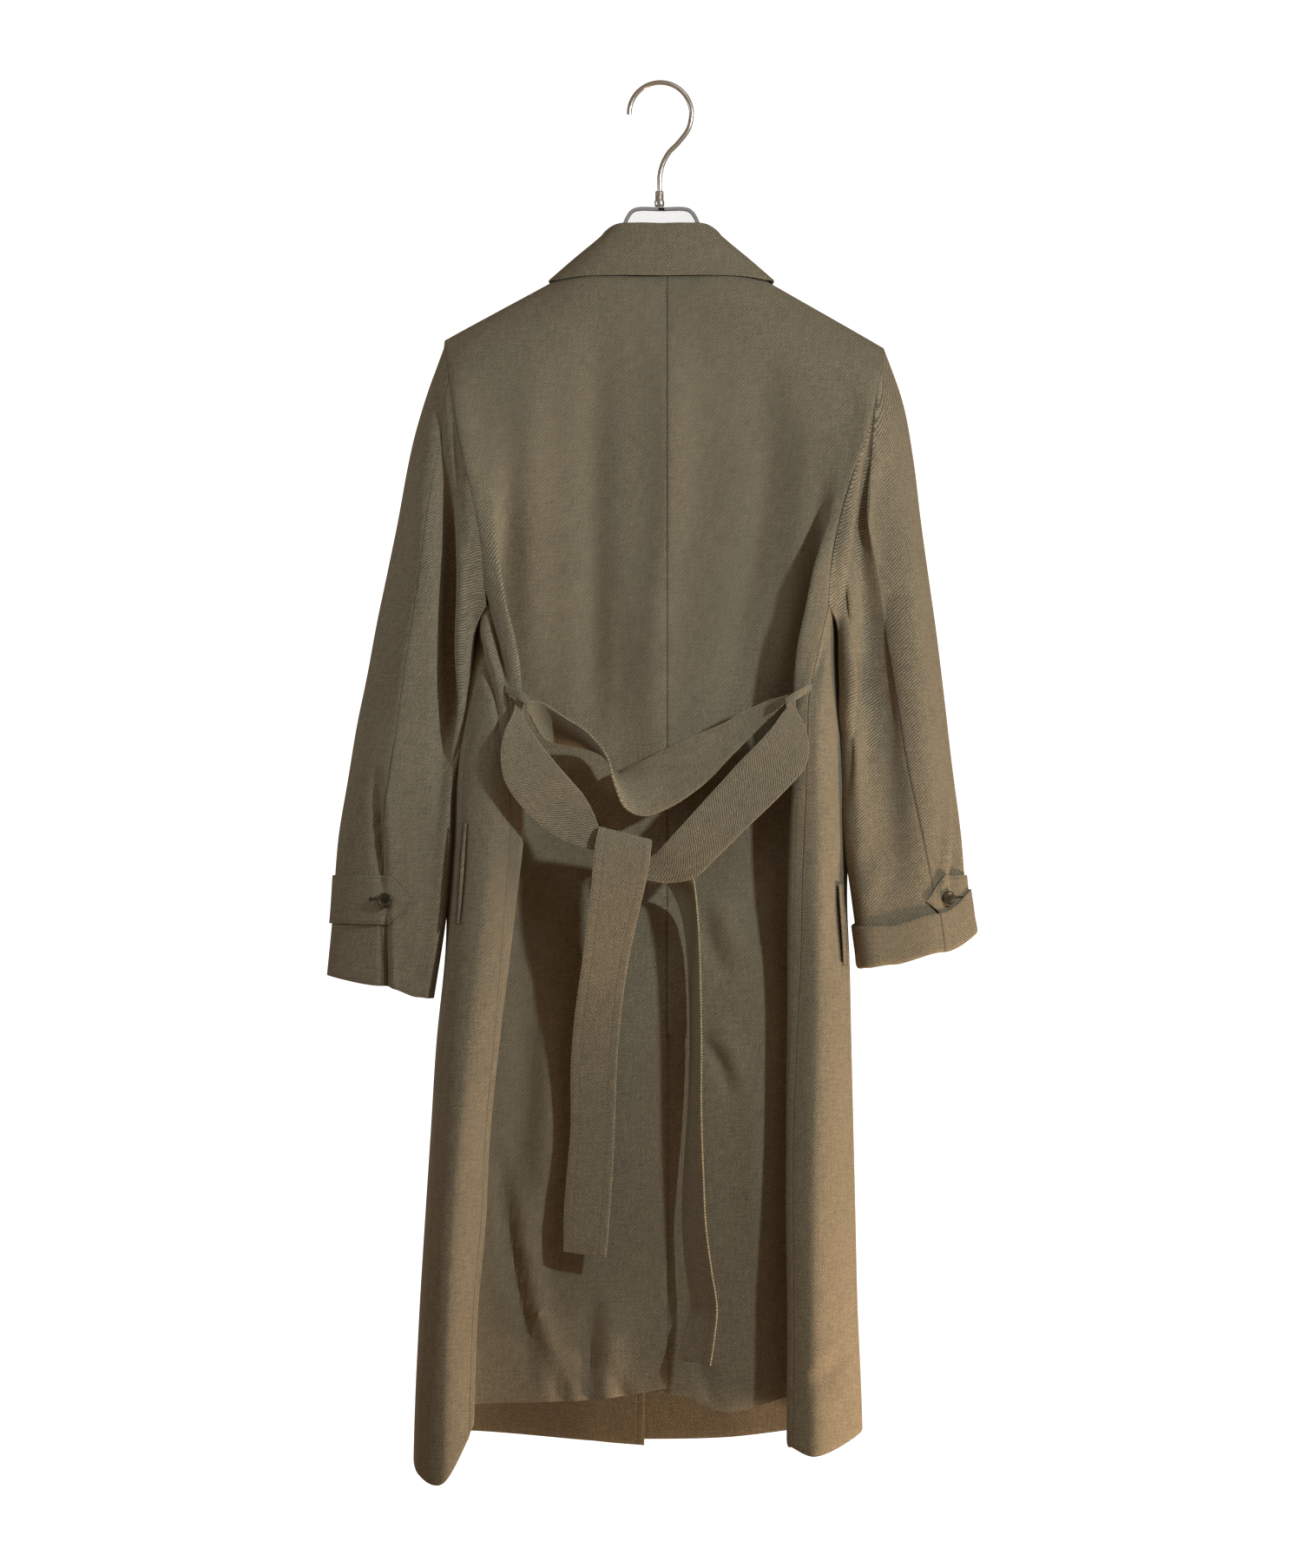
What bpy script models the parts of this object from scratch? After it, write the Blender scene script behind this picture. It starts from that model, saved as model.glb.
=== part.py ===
"""Long belted coat with a turn-down collar, hanging from a clear hanger.

Units are millimetres here and become metres in make_object. +Z is up and the back
of the coat faces -Y, so +X is the wearer's right. The origin is the inside top of
the hook, where it hangs on its rail. The cloth is one system of smooth surfaces,
sampled as grids: each panel is a wall round its grid, and neighbours share the
points and the normals of their seam.
"""
import math

import bpy
import numpy as np

MM = 0.001

# ---------------------------------------------------------------- driving sizes
CLOTH = 1.6            # wall of the coat's cloth
BELT_CLOTH = 1.8       # wall of the belt, which is doubled cloth
SEAM_GAP = 0.36        # between two panels at a seam
FINE = 1               # samples for each base step of a grid
UNDERARM_Z = -476.0
VENT_TOP_Z = -868.0
VENT_LAP = 34.0        # width of the vent's underlay
VENT_STEP = 3.6        # depth of the underlay behind the upper layer
ROUND_OVER = 46.0      # height over which the cloth rounds over the shoulder

CENTRE_X = 5.0
NECK_X = 58.0
WIRE_RADIUS = 2.15
HOOK_RADIUS = 28.4
BUTTON_RADIUS = 7.0

UPPER_ROWS = (0.0, 0.015, 0.06, 0.14, 0.25, 0.375, 0.5, 0.65, 0.83, 1.0)
LOWER_ROWS = (0.0, 0.055, 0.11, 0.17, 0.235, 0.31, 0.39, 0.47, 0.543, 0.553, 0.575,
              0.66, 0.75, 0.84, 0.92, 1.0)
UPPER_COUNT = len(UPPER_ROWS) - 1
LOWER_COUNT = len(LOWER_ROWS) - 1

# Stations round one half of the body, from the centre back to the front edge.
STATIONS = ("centre", "mid", "recess", "edge", "seam", "crest", "side",
            "out", "corner", "front_mid", "front_edge")
SEAM = STATIONS.index("seam")
SIDE = STATIONS.index("side")
LAST = len(STATIONS) - 1
# Base steps between neighbouring stations. The shoulder is shared by back and
# front, so the steps from mid to seam are those from side to front_mid, reversed.
STEPS = (2, 3, 3, 2, 2, 2, 2, 3, 3, 2)

# ------------------------------------------------------------- upper body, by row
# One row for each share of the way from the shoulder line down to the underarm.
UPPER_COLUMNS = ("share", "back_y", "recess_x", "edge_x", "edge_y",
                 "arm_x", "arm_y", "arm_z",
                 "side_x", "side_y", "side_z", "out_x", "out_y",
                 "corner_x", "front_y", "front_x")
UPPER_RIGHT = (
    (0.00, -30, 115, 165, -30, 202,   0, -240, 202,   0, -240, 165, 24, 115, 34, -14),
    (0.10, -36, 122, 168, -34, 199, -22, -264, 200,  17, -264, 171, 28, 120, 34, -15),
    (0.20, -41, 128, 170, -40, 194, -38, -288, 195,  27, -288, 174, 33, 125, 38, -16),
    (0.35, -45, 135, 172, -46, 185, -50, -323, 185,  33, -323, 173, 38, 131, 41, -17),
    (0.50, -46, 139, 166, -54, 172, -57, -358, 175,  34, -362, 169, 38, 134, 43, -18),
    (0.65, -45, 143, 157, -62, 162, -63, -393, 168,  29, -404, 162, 34, 134, 44, -19),
    (0.80, -43, 146, 144, -68, 154, -67, -429, 162,  12, -445, 156, 25, 133, 44, -20),
    (0.90, -41, 146, 137, -70, 151, -68, -453, 159, -12, -465, 153, 14, 133, 44, -20),
    (1.00, -40, 144, 132, -70, 150, -68, -476, 156, -38, -476, 152, -3, 134, 44, -20))
UPPER_LEFT = (
    (0.00, -30, 110, 161, -30, 197,   0, -233, 197,   0, -233, 161, 24, 110, 20, -14),
    (0.10, -36, 116, 162, -34, 194, -22, -257, 195,  17, -257, 167, 27, 117, 29, -13),
    (0.20, -41, 121, 162, -41, 190, -38, -282, 191,  27, -282, 171, 31, 123, 33, -12),
    (0.35, -45, 127, 160, -47, 184, -49, -318, 185,  32, -318, 174, 34, 129, 36, -11),
    (0.50, -46, 132, 158, -53, 176, -55, -355, 178,  32, -358, 172, 34, 134, 38, -10),
    (0.65, -45, 138, 155, -59, 168, -59, -391, 172,  27, -402, 166, 31, 137, 39, -9),
    (0.80, -43, 145, 150, -65, 162, -62, -427, 168,  11, -444, 160, 22, 138, 39, -8),
    (0.90, -41, 150, 146, -68, 160, -62, -452, 166, -12, -465, 159, 11, 139, 39, -8),
    (1.00, -40, 153, 141, -70, 158, -62, -476, 164, -38, -476, 159, -3, 140, 39, -8))

# ------------------------------------------------------------ lower body, by height
LOWER_COLUMNS = ("z", "back_y", "edge_x", "edge_y", "seam_x", "seam_y", "crest_x", "crest_y",
                 "side_x", "side_y", "out_x", "out_y", "corner_x", "front_y", "front_x")
LOWER_RIGHT = (
    (-476, -40, 132.0, -70, 150.0, -68, 154, -60, 156, -38, 152, -3, 134, 44, -20),
    (-524, -37, 122.5, -72, 139.0, -73, 149, -66, 156, -42, 154, -5, 136, 44, -21),
    (-555, -36, 120.0, -74, 132.7, -77, 147, -71, 157, -46, 157, -6, 139, 45, -22),
    (-595, -34, 121.0, -73, 131.0, -77, 146, -72, 158.5, -48, 160, -8, 143, 45, -23),
    (-634, -33, 119.0, -72, 130.0, -76, 145, -73, 158.5, -48, 160, -8, 146, 45, -24),
    (-682, -33, 116.0, -68, 128.0, -73, 144, -73, 160, -47, 161.5, -8, 148, 46, -26),
    (-729, -33, 115.0, -64, 126.5, -70, 144, -72, 162, -46, 163.5, -8, 150, 46, -28),
    (-792, -35, 114.5, -57, 125.6, -65, 143, -71, 167, -44, 168, -8, 151, 46, -30),
    (-871, -37, 114.5, -57, 122.0, -64, 141, -72, 169, -43, 169.5, -8, 152, 46, -33),
    (-950, -39, 114.0, -62, 119.0, -68, 139, -77, 171, -43, 171, -8, 153, 47, -37),
    (-1029, -41, 113.4, -68, 118.5, -74, 138, -81, 173, -43, 172.5, -8, 154, 47, -40),
    (-1108, -43, 114.0, -72, 119.0, -78, 138, -85, 175, -43, 174, -8, 155, 47, -44),
    (-1187, -45, 113.5, -75, 118.5, -81, 139, -88, 178.5, -43, 177, -8, 156, 47, -48),
    (-1280, -46, 113.0, -77, 118.0, -83, 140, -90, 181, -43, 180, -8, 157, 47, -52))
LOWER_LEFT = (
    (-476, -40, 141, -70, 158.0, -62, 162, -56, 164.0, -38, 159, -3, 140, 39, -8),
    (-524, -37, 131, -72, 146.0, -68, 157, -64, 165.5, -48, 166, -7, 145, 39, -6),
    (-555, -36, 128, -73, 138.5, -74, 154, -70, 169.0, -54, 171, -9, 149, 40, -4),
    (-595, -34, 126, -72, 137.0, -75, 155, -73, 173.0, -58, 176, -10, 153, 40, -2),
    (-634, -33, 125, -70, 136.5, -74, 156, -74, 176.5, -60, 180, -10, 157, 40, 0),
    (-682, -33, 125, -68, 136.0, -72, 158, -74, 180, -61, 182.5, -10, 160, 41, 2),
    (-729, -33, 130, -66, 140.0, -71, 162, -74, 182.5, -60, 187, -10, 163, 41, 4),
    (-792, -35, 137.5, -63, 145.0, -69, 168, -75, 189.0, -60, 194, -10, 167, 41, 6),
    (-871, -37, 147, -62, 151.5, -67, 176, -78, 196.0, -62, 202, -10, 172, 41, 8),
    (-950, -39, 155, -63, 159.0, -68, 183, -82, 201.0, -65, 207, -10, 177, 42, 10),
    (-1029, -41, 159, -64, 163.0, -69, 189, -84, 206.0, -68, 212, -10, 182, 42, 12),
    (-1108, -43, 166, -66, 170.0, -71, 193, -86, 210.0, -70, 217, -10, 186, 42, 14),
    (-1187, -45, 169, -68, 173.0, -73, 195, -88, 215.0, -72, 220, -10, 189, 42, 15),
    (-1280, -46, 171, -69, 175.0, -74, 196, -89, 218.0, -74, 222, -10, 191, 42, 16))
RECESS_BEHIND = 12.0   # how far the back runs on behind the rolled edge

# Height of the hem at each station.
HEM_RIGHT = (-1184, -1205, -1190, -1229, -1234, -1241, -1224, -1221, -1225, -1237, -1239)
HEM_LEFT = (-1184, -1194, -1200, -1213, -1226, -1265, -1260, -1238, -1230, -1240, -1244)

# ------------------------------------------------------------------ sleeves
# Stations round a sleeve, from its outer line over the back and the inside.
SLEEVE_STATIONS = ("outer", "hind", "valley", "band", "inner", "under", "fin", "fout")
SLEEVE_COLUMNS = ("z",) + tuple(
    name + axis for name in SLEEVE_STATIONS for axis in ("_x", "_y"))
SLEEVE_RIGHT = (
    (-240, 206, 0, 200, -16, 198, -28, 190, -50, 180, -60, 175, -15, 180, 20, 196, 12),
    (-290, 221, 0, 192, -44, 190, -40, 184, -60, 172, -62, 168, -15, 176, 28, 203, 26),
    (-340, 229, 0, 189, -52, 184, -46, 177, -64, 165, -64, 165, -15, 172, 32, 208, 34),
    (-400, 236, -1, 186, -56, 181, -47, 170, -66, 158, -62, 165, -15, 170, 32, 213, 40),
    (-444, 242, -2, 196, -55, 181, -46, 169, -64, 159, -58, 166, -14, 170, 29, 218, 42),
    (-501, 250, -3, 205, -53, 186, -43, 172, -60, 161, -52, 167, -13, 172, 27, 224, 42),
    (-559, 257, -4, 214, -51, 187, -42, 173, -58, 162.5, -47, 168, -11, 174, 25, 230, 40),
    (-620, 264, -5, 223, -49, 187, -48, 174, -56, 163.5, -45, 169, -9, 176, 22, 236, 34),
    (-682, 272, -7, 235, -46, 195, -51, 176, -54, 165.5, -44, 171, -8, 178, 17, 242, 28),
    (-740, 277, -9, 247, -42, 201, -51, 180, -52, 173.0, -38, 177, -8, 182, 12, 248, 21),
    (-800, 287, -12, 256, -38, 209, -49, 187, -49, 181, -36, 185, -9, 190, 7, 256, 15))
SLEEVE_LEFT = (
    (-240, 204, 0, 199, -16, 198, -26, 192, -50, 184, -58, 178, -15, 184, 20, 196, 12),
    (-290, 218, 0, 203, -36, 194, -34, 188, -56, 178, -60, 172, -15, 181, 27, 202, 25),
    (-340, 229, 0, 206, -43, 187, -39, 183, -58, 172, -60, 170, -15, 178, 31, 209, 33),
    (-400, 240, -1, 212, -47, 188.5, -42, 178, -61, 167, -60, 169, -15, 177, 31, 217, 39),
    (-444, 249, -2, 218, -49, 191, -42, 178, -61, 167, -58, 170, -14, 178, 29, 224, 41),
    (-492, 259, -3, 226, -49, 192.5, -40, 180, -60, 169.5, -54, 176, -13, 183, 27, 232, 42),
    (-536, 267, -4, 233, -49, 195, -39, 182, -58, 173, -50, 181, -12, 187, 25, 238, 40),
    (-585, 277, -4, 240, -48, 196, -39, 185, -56, 178, -46, 186, -11, 192, 23, 244, 36),
    (-634, 285, -5, 247, -47, 200, -45, 189, -54, 182.5, -44, 190, -10, 196, 19, 250, 31),
    (-682, 293, -6, 252, -45, 206, -48, 194, -53, 187.5, -42, 193, -9, 199, 15, 256, 26),
    (-760, 299, -7, 254, -42, 213, -48, 201, -50, 196, -37, 200, -8, 205, 8, 262, 18),
    (-831, 306, -8, 254, -40, 221, -45, 211, -45, 207, -31, 210, -8, 214, 5, 267, 13))
CUFF_RIGHT = (-771, -786, -797, -800, -801, -798, -790, -776)
CUFF_LEFT = (-811, -820, -830, -831, -831, -828, -821, -812)
SLEEVE_ROWS = (0.0, 0.035, 0.08, 0.14, 0.21, 0.29, 0.38, 0.48, 0.59, 0.70, 0.81, 0.91, 1.0)
HEAD_BLEND = 0.24      # share of its length over which the head leaves the armhole
UNDER_BLEND = 0.09     # the same under the arm
# Station place of each upper row on the armhole, down its back and up its front.
BACK_PLACES = (0.0, 0.15, 0.5, 1.0, 1.5, 2.0, 2.5, 3.0, 3.5, 4.0)
FRONT_PLACES = (8.0, 7.89, 7.63, 7.25, 6.9, 6.5, 6.1, 5.75, 5.4, 5.0)
HIND_ROW = 3           # rows at which the two sleeve seams meet the armhole
FORE_ROW = 5

# ------------------------------------------------------------------- collar
# The fold line, the middle of the fall and its outer edge, from the centre back (0)
# past the neck point (1) to the front end (2).
COLLAR_COLUMNS = ("way", "fold_x", "fold_y", "fold_z", "hip_x", "hip_y", "hip_z",
                  "edge_x", "edge_y", "edge_z")
COLLAR_TABLE = (
    (0.00, 0, -31, -129.0, 0, -35.5, -152, 0, -35, -176.0),
    (0.33, 23, -30, -128.5, 32, -34.5, -152, 42, -33, -175.5),
    (0.67, 43, -22, -130.0, 61, -26.5, -153, 78, -25, -176.5),
    (0.85, 52, -11, -136.0, 74, -15.0, -156, 95, -14, -178.5),
    (1.00, 57, 0, -144.0, 81, -1.0, -161, 102.5, -2, -178.8),
    (1.12, 56, 6, -147.0, 80, 12.0, -164, 101, 14, -182.5),
    (1.25, 53, 12, -151.0, 78, 24.0, -172, 97, 32, -196.0),
    (1.50, 41, 20, -160.0, 64, 37.0, -189, 81, 43, -219.0),
    (1.75, 29, 28, -171.0, 46, 43.0, -204, 61, 48, -240.0),
    (2.00, 16, 34, -181.0, 29, 46.0, -220, 42, 51, -262.0))
FOLD_HALF = 1.7        # half of the way between stand and fall at the fold
FOLD_DROP = 2.2
COLLAR_RISE = 2.2      # the stand starts this far above the neck edge
STAND_BULGE = np.array([0.0, 0.0, 5.0])
FRONT_WAY = 0.67       # where the collar ends, as a share of the front neck seam
COLLAR_WAYS = (0.0, 0.2, 0.4, 0.6, 0.8, 1.0, 1.12, 1.25, 1.4, 1.6, 1.8, 2.0)

# --------------------------------------------------------------------- belt
# Each row: one edge of the strip, then the other edge.
BELT_UPPER = (
    (-122, -85.6, -562, -121.5, -85.6, -570),
    (-109, -82, -563, -106, -72, -596),
    (-88, -86, -577, -86, -54, -602),
    (-64, -92, -593, -65, -48, -606),
    (-49, -97, -612, -51, -50, -613),
    (-42, -94, -637, -42, -50, -627),
    (-33, -85, -658, -31, -55, -622),
    (-17, -74, -666, -17, -60, -616),
    (8, -68, -658, 3, -60, -606),
    (41, -65, -635, 31, -61, -593),
    (62, -65, -613, 56, -62, -582),
    (82, -67, -593, 76, -65, -571),
    (101, -72, -574, 95, -70, -562),
    (114.5, -83.7, -561, 113.5, -83.7, -557))
BELT_LEFT = (
    (-131, -80.2, -557, -124.5, -83.8, -559.5),
    (-133, -83, -571, -124, -83, -577),
    (-141, -87, -590, -116, -86, -591),
    (-144.5, -89, -610, -108, -89, -602),
    (-141, -90, -634, -99, -90, -613),
    (-130, -90, -652, -89, -90, -625),
    (-116, -89, -667, -80, -89, -635),
    (-99, -88, -681, -70, -88, -647),
    (-79, -87, -691, -62, -87, -661),
    (-60, -86, -697, -55.8, -86, -677))
BELT_RIGHT = (
    (114, -86.2, -559.5, 120.5, -86.2, -561),
    (114, -84.5, -566, 121, -83.5, -569),
    (108, -85, -574, 128, -84, -583),
    (101, -87, -584, 132.5, -86, -603),
    (87, -88, -600, 129, -88, -622),
    (72, -88, -615, 113, -89, -641),
    (52, -87, -637, 92, -89, -662),
    (32, -86, -659, 73, -88, -680),
    (12, -84, -681, 52, -85, -701),
    (0, -82, -694, 30, -82, -721),
    (-9, -79, -702, 6, -78, -726),
    (-22, -77, -703, -20, -76, -722))
TAIL_LEFT = (
    (-55, -80.5, -690, -12, -79, -701),
    (-55.5, -86, -679, -10, -83.5, -690),
    (-56, -91, -676, -8.7, -88.5, -688),
    (-58, -94, -683, -9.5, -92.5, -696),
    (-61, -94, -699, -11, -93, -710),
    (-63, -92, -725, -14, -91, -725),
    (-67, -86, -755, -21, -85, -755),
    (-71, -78, -792, -29, -77, -792),
    (-78, -70, -843, -36, -69, -841),
    (-82, -66, -893, -40, -65, -887),
    (-82, -65, -943, -42, -64, -938),
    (-85, -66, -984, -44, -65, -984),
    (-88, -67, -1024, -47, -66, -1029),
    (-88.5, -68, -1059, -50, -67, -1064))
TAIL_RIGHT = (
    (28, -79.4, -717, -3, -75.8, -717),
    (30, -77, -728, 6, -61, -728),
    (32, -76, -748, 16, -45, -748),
    (34, -75, -776, 22, -41, -776),
    (36, -75, -863, 26, -41.5, -863),
    (36, -76, -934, 24, -43.5, -934),
    (38, -77, -994, 20, -46, -994),
    (40, -78, -1034, 19, -49, -1034),
    (45, -80, -1074, 22, -52, -1074),
    (50, -81, -1108, 26, -56, -1108),
    (48, -82, -1133, 21, -59, -1131),
    (44, -82, -1160, 14, -61, -1156))

LOOP_LEFT = (
    (-140, -75.4, -548, -141, -75.4, -555),
    (-133, -81.0, -551, -134, -81.0, -558),
    (-126, -86.0, -554, -127, -87.5, -562),
    (-119, -87.0, -559, -119, -90.0, -567))
LOOP_RIGHT = (
    (134, -78.2, -546, 135, -78.2, -553),
    (127, -83.5, -550, 128, -83.5, -557),
    (120, -87.5, -554, 120, -88.5, -562),
    (111, -88.5, -560, 112, -91.0, -568))

# ------------------------------------------------- pieces that lie on the others
STRAP_LIFT = 2.6       # middle of a strap above the middle of the sleeve's cloth
TURNUP_LIFTS = (5.2, 5.2, 2.8, 2.4, 2.4, 2.4, 4.6, 5.2)
TURNUP_TOP = (-733, -754, -765, -765, -765, -763, -755, -741)
WELT_LIFT = 2.4

# ------------------------------------------------------------------- hanger
HANGER_UNDER = 3.4     # top of an arm below the middle of the shoulders' cloth
HANGER_HEIGHT = 13.0
HANGER_HALF = 4.8
NECK_HALF = 3.8
HANGER_ARM_X = (66, 100, 140, 186)
HANGER_NECK = ((0, -111.3, -174), (22, -111.3, -174), (27, -113.5, -174),
               (31, -119, -174), (35, -130, -174), (37, -148, -175), (40, -169, -178), (50, -170, -180))
HOOK_TIP_ANGLE = 182.0
HOOK_ARC_STEPS = 20
HOOK_NECK = ((24.6, -40), (15.5, -52.5), (6.5, -62), (0.8, -73), (-1.6, -84), (-1.8, -96))
FERRULE_TOP_Z = -96.4

# ------------------------------------------------------------------ materials
FINISHES = {
    "twill": ((0.155, 0.125, 0.085), 0.92, 0.0),
    "button": ((0.035, 0.028, 0.015), 0.40, 0.0),
    "clear": ((0.90, 0.91, 0.92), 0.12, 0.0),
    "chrome": ((0.78, 0.77, 0.75), 0.16, 1.0)}


def clear_scene():
    for old in list(bpy.data.objects):
        bpy.data.objects.remove(old, do_unlink=True)


def make_material(name):
    colour, roughness, metallic = FINISHES[name]
    material = bpy.data.materials.new(name)
    material.use_nodes = True
    shader = material.node_tree.nodes["Principled BSDF"]
    shader.inputs["Base Color"].default_value = colour + (1.0,)
    shader.inputs["Roughness"].default_value = roughness
    shader.inputs["Metallic"].default_value = metallic
    return material


def make_object(name, verts, faces, material):
    mesh = bpy.data.meshes.new(name)
    mesh.from_pydata((np.asarray(verts) * MM).tolist(), [], faces)
    mesh.materials.append(material)
    mesh.shade_smooth()
    mesh.set_sharp_from_angle(angle=math.radians(40))
    obj = bpy.data.objects.new(name, mesh)
    bpy.context.scene.collection.objects.link(obj)


# ---------------------------------------------------------- smooth interpolation
def tangents(knots, values):
    """Finite-difference tangents along axis 0, one-sided at both ends."""
    gaps = np.diff(knots, axis=0)
    slopes = np.diff(values, axis=0) / gaps
    inner = (slopes[:-1] * gaps[1:] + slopes[1:] * gaps[:-1]) / (gaps[1:] + gaps[:-1])
    return np.concatenate([slopes[:1], inner, slopes[-1:]])


def hermite(low, high, low_slope, high_slope, gap, share):
    square = share * share
    cube = square * share
    return (low * (2 * cube - 3 * square + 1) + high * (3 * square - 2 * cube)
            + low_slope * gap * (cube - 2 * square + share)
            + high_slope * gap * (cube - square))


def read_table(table, columns, at):
    """Every column of a table, smoothly interpolated at the heights or shares in at."""
    rows = np.array(table, dtype=float)
    keys = rows[:, 0]
    at = np.asarray(at, dtype=float)
    if keys[0] > keys[-1]:
        keys = -keys
        at = -at
    slopes = tangents(keys[:, None], rows)
    spot = np.clip(np.searchsorted(keys, at, side="right") - 1, 0, len(keys) - 2)
    gap = keys[spot + 1] - keys[spot]
    share = np.clip((at - keys[spot]) / gap, 0.0, 1.0)
    found = hermite(rows[spot], rows[spot + 1], slopes[spot], slopes[spot + 1],
                    gap[..., None], share[..., None])
    return {name: found[..., index] for index, name in enumerate(columns)}


def chain(stations, step, share, closed=False):
    """Points on the smooth curve through stations (station, ..., 3).

    step is the index of each sample's stretch and share its place along it.
    """
    points = stations
    if closed:
        points = np.concatenate([stations[-2:], stations, stations[:3]])
        step = step + 2
    chord = np.linalg.norm(np.diff(points, axis=0), axis=-1)
    gaps = np.sqrt(np.maximum(chord, 0.2))[..., None]
    slopes = np.diff(points, axis=0) / gaps
    inner = (slopes[:-1] * gaps[1:] + slopes[1:] * gaps[:-1]) / (gaps[1:] + gaps[:-1])
    slope = np.concatenate([slopes[:1], inner, slopes[-1:]])
    columns = [hermite(points[i], points[i + 1], slope[i], slope[i + 1], gaps[i], f)
               for i, f in zip(step, share)]
    return np.stack(columns)


def samples(first, last, steps=STEPS):
    """Stretch indices and shares of the columns between two stations."""
    step = []
    share = []
    for index in range(first, last):
        count = steps[index] * FINE
        for k in range(count):
            step.append(index)
            share.append(k / count)
    step.append(last - 1)
    share.append(1.0)
    return np.array(step), np.array(share)


def refine(shares):
    base = np.arange(len(shares))
    return np.interp(np.arange((len(shares) - 1) * FINE + 1) / FINE, base, shares)


# ------------------------------------------------------------------ the body
class Half:
    """One half of the body: its tables and the side of the body that it is on."""

    turn = 1.0

    def __init__(self, sign, upper, lower, hem):
        self.sign = sign
        self.upper = upper
        self.lower = lower
        self.hem = np.array(hem, dtype=float)

    def neck_line(self):
        """Top point of each station, from the neck and shoulder."""
        tip = dict(zip(UPPER_COLUMNS, self.upper[0]))
        near = np.array([NECK_X, -158.0])
        far = np.array([tip["arm_x"], tip["arm_z"]], dtype=float)

        def shoulder(x):
            return near[1] + (far[1] - near[1]) * (x - near[0]) / (far[0] - near[0])

        recess = shoulder(tip["recess_x"])
        edge = shoulder(tip["edge_x"])
        return {"centre": (CENTRE_X * self.sign, -25.0, -166.0),
                "mid": (NECK_X, 0.0, near[1]),
                "recess": (tip["recess_x"], 0.0, recess),
                "edge": (tip["edge_x"], 0.0, edge),
                "out": (tip["edge_x"], 0.0, edge),
                "corner": (tip["recess_x"], 0.0, recess),
                "front_mid": (NECK_X, 0.0, near[1]),
                "front_edge": (tip["front_x"], tip["front_y"], -208.0)}

    def upper_stations(self, share):
        """Station points (station, row, 3) between shoulder line and underarm."""
        row = read_table(self.upper, UPPER_COLUMNS, share)
        top = self.neck_line()
        ones = np.ones_like(share)

        def point(name, x, y):
            start = top[name]
            z = start[2] + (UNDERARM_Z - start[2]) * share
            t = np.clip((start[2] - z) / ROUND_OVER, 0.0, 1.0)
            blend = np.sqrt(1.0 - (1.0 - t) ** 2)
            y = start[1] + (y - start[1]) * blend
            ease = np.clip(1.0 - share / 0.3, 0.0, 1.0) ** 2
            x = x + (start[0] - x) * ease
            return np.stack([x, y, z], axis=-1)

        arm = np.stack([row["arm_x"], row["arm_y"], row["arm_z"]], axis=-1)
        side = np.stack([row["side_x"], row["side_y"], row["side_z"]], axis=-1)
        last = dict(zip(LOWER_COLUMNS, self.lower[0]))
        middle = (arm + side) / 2
        goal = np.array([last["crest_x"], last["crest_y"], UNDERARM_Z])
        crest = middle + (goal - middle[-1]) * share[:, None]
        return np.stack([
            point("centre", CENTRE_X * self.sign * ones, row["back_y"]),
            point("mid", (NECK_X + 2.0) * ones, row["back_y"] - 0.5),
            point("recess", row["recess_x"], row["back_y"] - 1.0),
            point("edge", row["edge_x"], row["edge_y"]),
            arm, crest, side,
            point("out", row["out_x"], row["out_y"]),
            point("corner", row["corner_x"], row["front_y"] - 4.0),
            point("front_mid", (NECK_X + 2.0) * ones, row["front_y"]),
            point("front_edge", row["front_x"], row["front_y"] + 0.5)])

    def lower_stations(self, z):
        """Station points (station, ..., 3) at the heights z below the underarm."""
        row = read_table(self.lower, LOWER_COLUMNS, z)
        ones = np.ones_like(z)

        def point(x, y):
            return np.stack([x, y, z], axis=-1)

        return np.stack([
            point(CENTRE_X * self.sign * ones, row["back_y"]),
            point((NECK_X + 2.0) * ones, row["back_y"] - 0.5),
            point(row["edge_x"] + RECESS_BEHIND, row["back_y"] - 1.0),
            point(row["edge_x"], row["edge_y"]),
            point(row["seam_x"], row["seam_y"]),
            point(row["crest_x"], row["crest_y"]),
            point(row["side_x"], row["side_y"]),
            point(row["out_x"], row["out_y"]),
            point(row["corner_x"], row["front_y"] - 4.0),
            point((NECK_X + 2.0) * ones, row["front_y"]),
            point(row["front_x"], row["front_y"] + 0.5)])

    def upper_grid(self, first, last):
        """Grid (row, column, 3) of the upper body between two stations."""
        share = refine(UPPER_ROWS)
        step, part = samples(first, last)
        grid = chain(self.upper_stations(share), step, part).transpose(1, 0, 2)
        return self.straighten(grid, share, step + part)

    def straighten(self, grid, share, place):
        """Bring the top row onto the straight shoulder seam, fading below it."""
        top = self.neck_line()
        names = list(STATIONS)
        tip = self.upper[0]
        line = np.array([(tip[5], 0.0, tip[7]) if name in ("seam", "crest", "side") else top[name]
                         for name in names], dtype=float)
        target = np.stack([np.interp(place, np.arange(len(names)), line[:, k])
                           for k in range(3)], axis=-1)
        shoulder = ((place >= 1) & (place <= SEAM)) | ((place >= SIDE) & (place <= LAST - 1))
        shift = np.where(shoulder[:, None], target - grid[0], 0.0)
        fade = np.clip(1.0 - share / 0.22, 0.0, 1.0) ** 2
        return grid + shift[None] * fade[:, None, None]

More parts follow.
